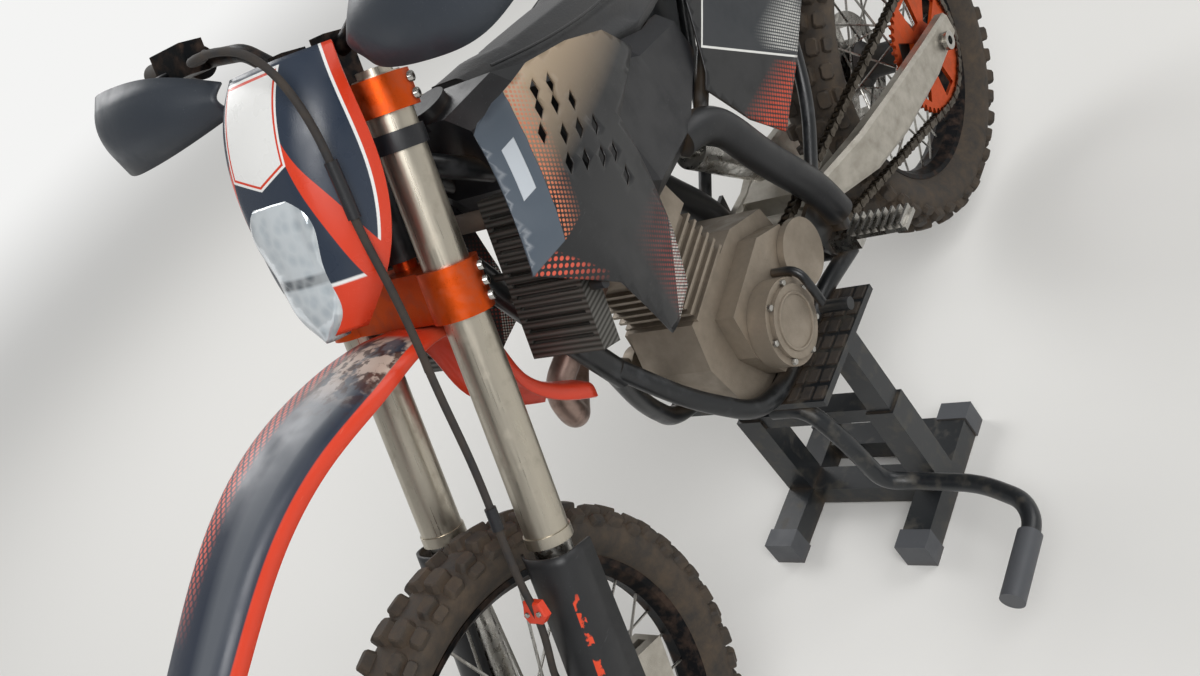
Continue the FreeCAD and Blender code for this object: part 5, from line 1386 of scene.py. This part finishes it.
class MOTORCYCLE_OT_finishes(bpy.types.Operator):
    """Gives every carried-over sub-part its real finish"""

    bl_idname = "motorcycle.finishes"
    bl_label = "Finishes"

    def execute(self, context):
        chosen = context.scene.motorcycle_colours
        COLOURS.update({name: getattr(chosen, name) for name in MotorcycleColours.__annotations__})
        make_finishes()
        for finish, names in NODE_FINISHES.items():
            for name in names:
                if name not in NODES:
                    raise RuntimeError("no sub-part named " + name)
                slots = NODES[name].data.materials
                if not slots:
                    slots.append(None)
                for index in range(len(slots)):
                    slots[index] = FINISHES[finish]
        return {"FINISHED"}


PALE_STUDIO = "#F4F4F3"


def add_camera():
    """Camera where the photograph was taken: ahead, left and above, looking back down, and rolled."""
    camera = add_object("camera", bpy.data.cameras.new("camera"))
    camera.data.lens = 38.16
    camera.data.sensor_width = 36.0
    place = (1.917 + REAR_AXLE[0], 1.203, 1.588)
    around, above, roll = (math.radians(angle) for angle in (51.885, 30.085, -40.543))
    back = Vector((math.cos(above) * math.cos(around), math.cos(above) * math.sin(around), math.sin(above)))
    turn = back.to_track_quat("Z", "Y").to_matrix().to_4x4() @ Matrix.Rotation(roll, 4, "Z")
    camera.matrix_world = Matrix.Translation(place) @ turn
    bpy.context.scene.camera = camera


def floor_finish():
    """Pale matt floor that fades into the white of the world from 3 m to 9 m out."""
    made = Finish("pale_studio_floor", "#E6E5E2", roughness=0.9)
    distance = add_node(made.tree, "ShaderNodeVectorMath", {0: made.place}, operation="LENGTH")
    fade = add_node(made.tree, "ShaderNodeMapRange",
                    {"Value": distance.outputs["Value"], "From Min": 3.0, "From Max": 9.0},
                    interpolation_type="SMOOTHSTEP")
    glow = add_node(made.tree, "ShaderNodeEmission", {"Color": linear(PALE_STUDIO), "Strength": 1.0})
    blend = add_node(made.tree, "ShaderNodeMixShader",
                     {0: fade.outputs[0], 1: made.shader.outputs[0], 2: glow.outputs[0]})
    made.tree.links.new(blend.outputs[0], made.tree.nodes["Material Output"].inputs["Surface"])
    return made.material


def add_floor():
    """Floor: a disc of rings round its middle."""
    steps, radii = 96, np.array([1.5, 3.0, 5.0, 8.0, 14.0, 30.0])
    angles = turns(steps)
    rings = np.stack([np.outer(radii, np.cos(angles)), np.outer(radii, np.sin(angles)),
                      np.zeros((len(radii), steps))], -1).reshape(-1, 3)
    middle_faces = [(0, 1 + i, 1 + (i + 1) % steps) for i in range(steps)]
    ring_faces = grid_faces(len(radii), steps, wrap_columns=True) + 1
    mesh = bpy.data.meshes.new("floor")
    mesh.from_pydata([(0, 0, 0)] + rings.tolist(), [], middle_faces + ring_faces.tolist())
    mesh.materials.append(floor_finish())
    add_object("floor", mesh)


def add_world():
    """World: white to the camera and through glass, and weaker as a light."""
    world = bpy.data.worlds.new("studio")
    bpy.context.scene.world = world
    world.use_nodes = True
    sky = world.node_tree
    background = sky.nodes["Background"]
    background.inputs["Color"].default_value = linear(PALE_STUDIO)
    rays = add_node(sky, "ShaderNodeLightPath")
    seen = add_node(sky, "ShaderNodeMath",
                    {0: rays.outputs["Is Camera Ray"], 1: rays.outputs["Is Transmission Ray"]},
                    operation="MAXIMUM")
    strength = add_node(sky, "ShaderNodeMapRange", {"Value": seen.outputs[0], "To Min": 0.42, "To Max": 1.0})
    sky.links.new(strength.outputs[0], background.inputs["Strength"])


def add_lamps():
    """Soft square lamps, each turned to a point of the bike."""
    # columns: name, place, target, side in metres, power in watts
    for name, place, target, across, power in (
            ("key", (2.2, 2.6, 3.6), (0.2, 0.0, 0.6), 2.4, 125.0),
            ("fill", (-2.6, 2.4, 2.6), (-0.2, 0.0, 0.6), 2.4, 40.0),
            ("rim", (-1.0, -3.2, 3.0), (0.0, 0.0, 0.7), 2.2, 60.0)):
        light = bpy.data.lights.new(name, "AREA")
        light.energy = power
        light.size = across
        lamp = add_object(name, light)
        lamp.location = place
        lamp.rotation_euler = (Vector(target) - Vector(place)).to_track_quat("-Z", "Y").to_euler()


class MOTORCYCLE_OT_stage(bpy.types.Operator):
    """Pale floor, soft lights, and the camera where the photograph was taken"""

    bl_idname = "motorcycle.stage"
    bl_label = "Stage"

    def execute(self, context):
        context.scene.view_settings.view_transform = "Standard"
        add_camera()
        add_floor()
        add_world()
        add_lamps()
        return {"FINISHED"}


class MOTORCYCLE_PT_panel(bpy.types.Panel):
    """Lists the steps in the 3D view's sidebar"""

    bl_idname = "MOTORCYCLE_PT_panel"
    bl_label = "Motorcycle"
    bl_space_type = "VIEW_3D"
    bl_region_type = "UI"
    bl_category = "Motorcycle"

    def draw(self, context):
        for step in STEPS:
            self.layout.operator(step.bl_idname)


STEPS = (
    MOTORCYCLE_OT_finishes,
    MOTORCYCLE_OT_tyres,
    MOTORCYCLE_OT_chain,
    MOTORCYCLE_OT_plastics,
    MOTORCYCLE_OT_covers,
    MOTORCYCLE_OT_seat,
    MOTORCYCLE_OT_engine_detail,
    MOTORCYCLE_OT_fittings,
    MOTORCYCLE_OT_stage,
)
CLASSES = (MotorcycleColours, MotorcycleSizes) + STEPS + (MOTORCYCLE_PT_panel,)


def register():
    """Registers the classes and gives the scene its sizes and colours."""
    for item in CLASSES:
        bpy.utils.register_class(item)
    bpy.types.Scene.motorcycle_colours = bpy.props.PointerProperty(type=MotorcycleColours)
    bpy.types.Scene.motorcycle_sizes = bpy.props.PointerProperty(type=MotorcycleSizes)


def unregister():
    """Takes back what register gave."""
    del bpy.types.Scene.motorcycle_sizes
    del bpy.types.Scene.motorcycle_colours
    for item in reversed(CLASSES):
        bpy.utils.unregister_class(item)


def main():
    """Registers the add-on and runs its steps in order."""
    register()
    for step in STEPS:
        group, name = step.bl_idname.split(".")
        getattr(getattr(bpy.ops, group), name)()


if __name__ == "__main__":
    main()
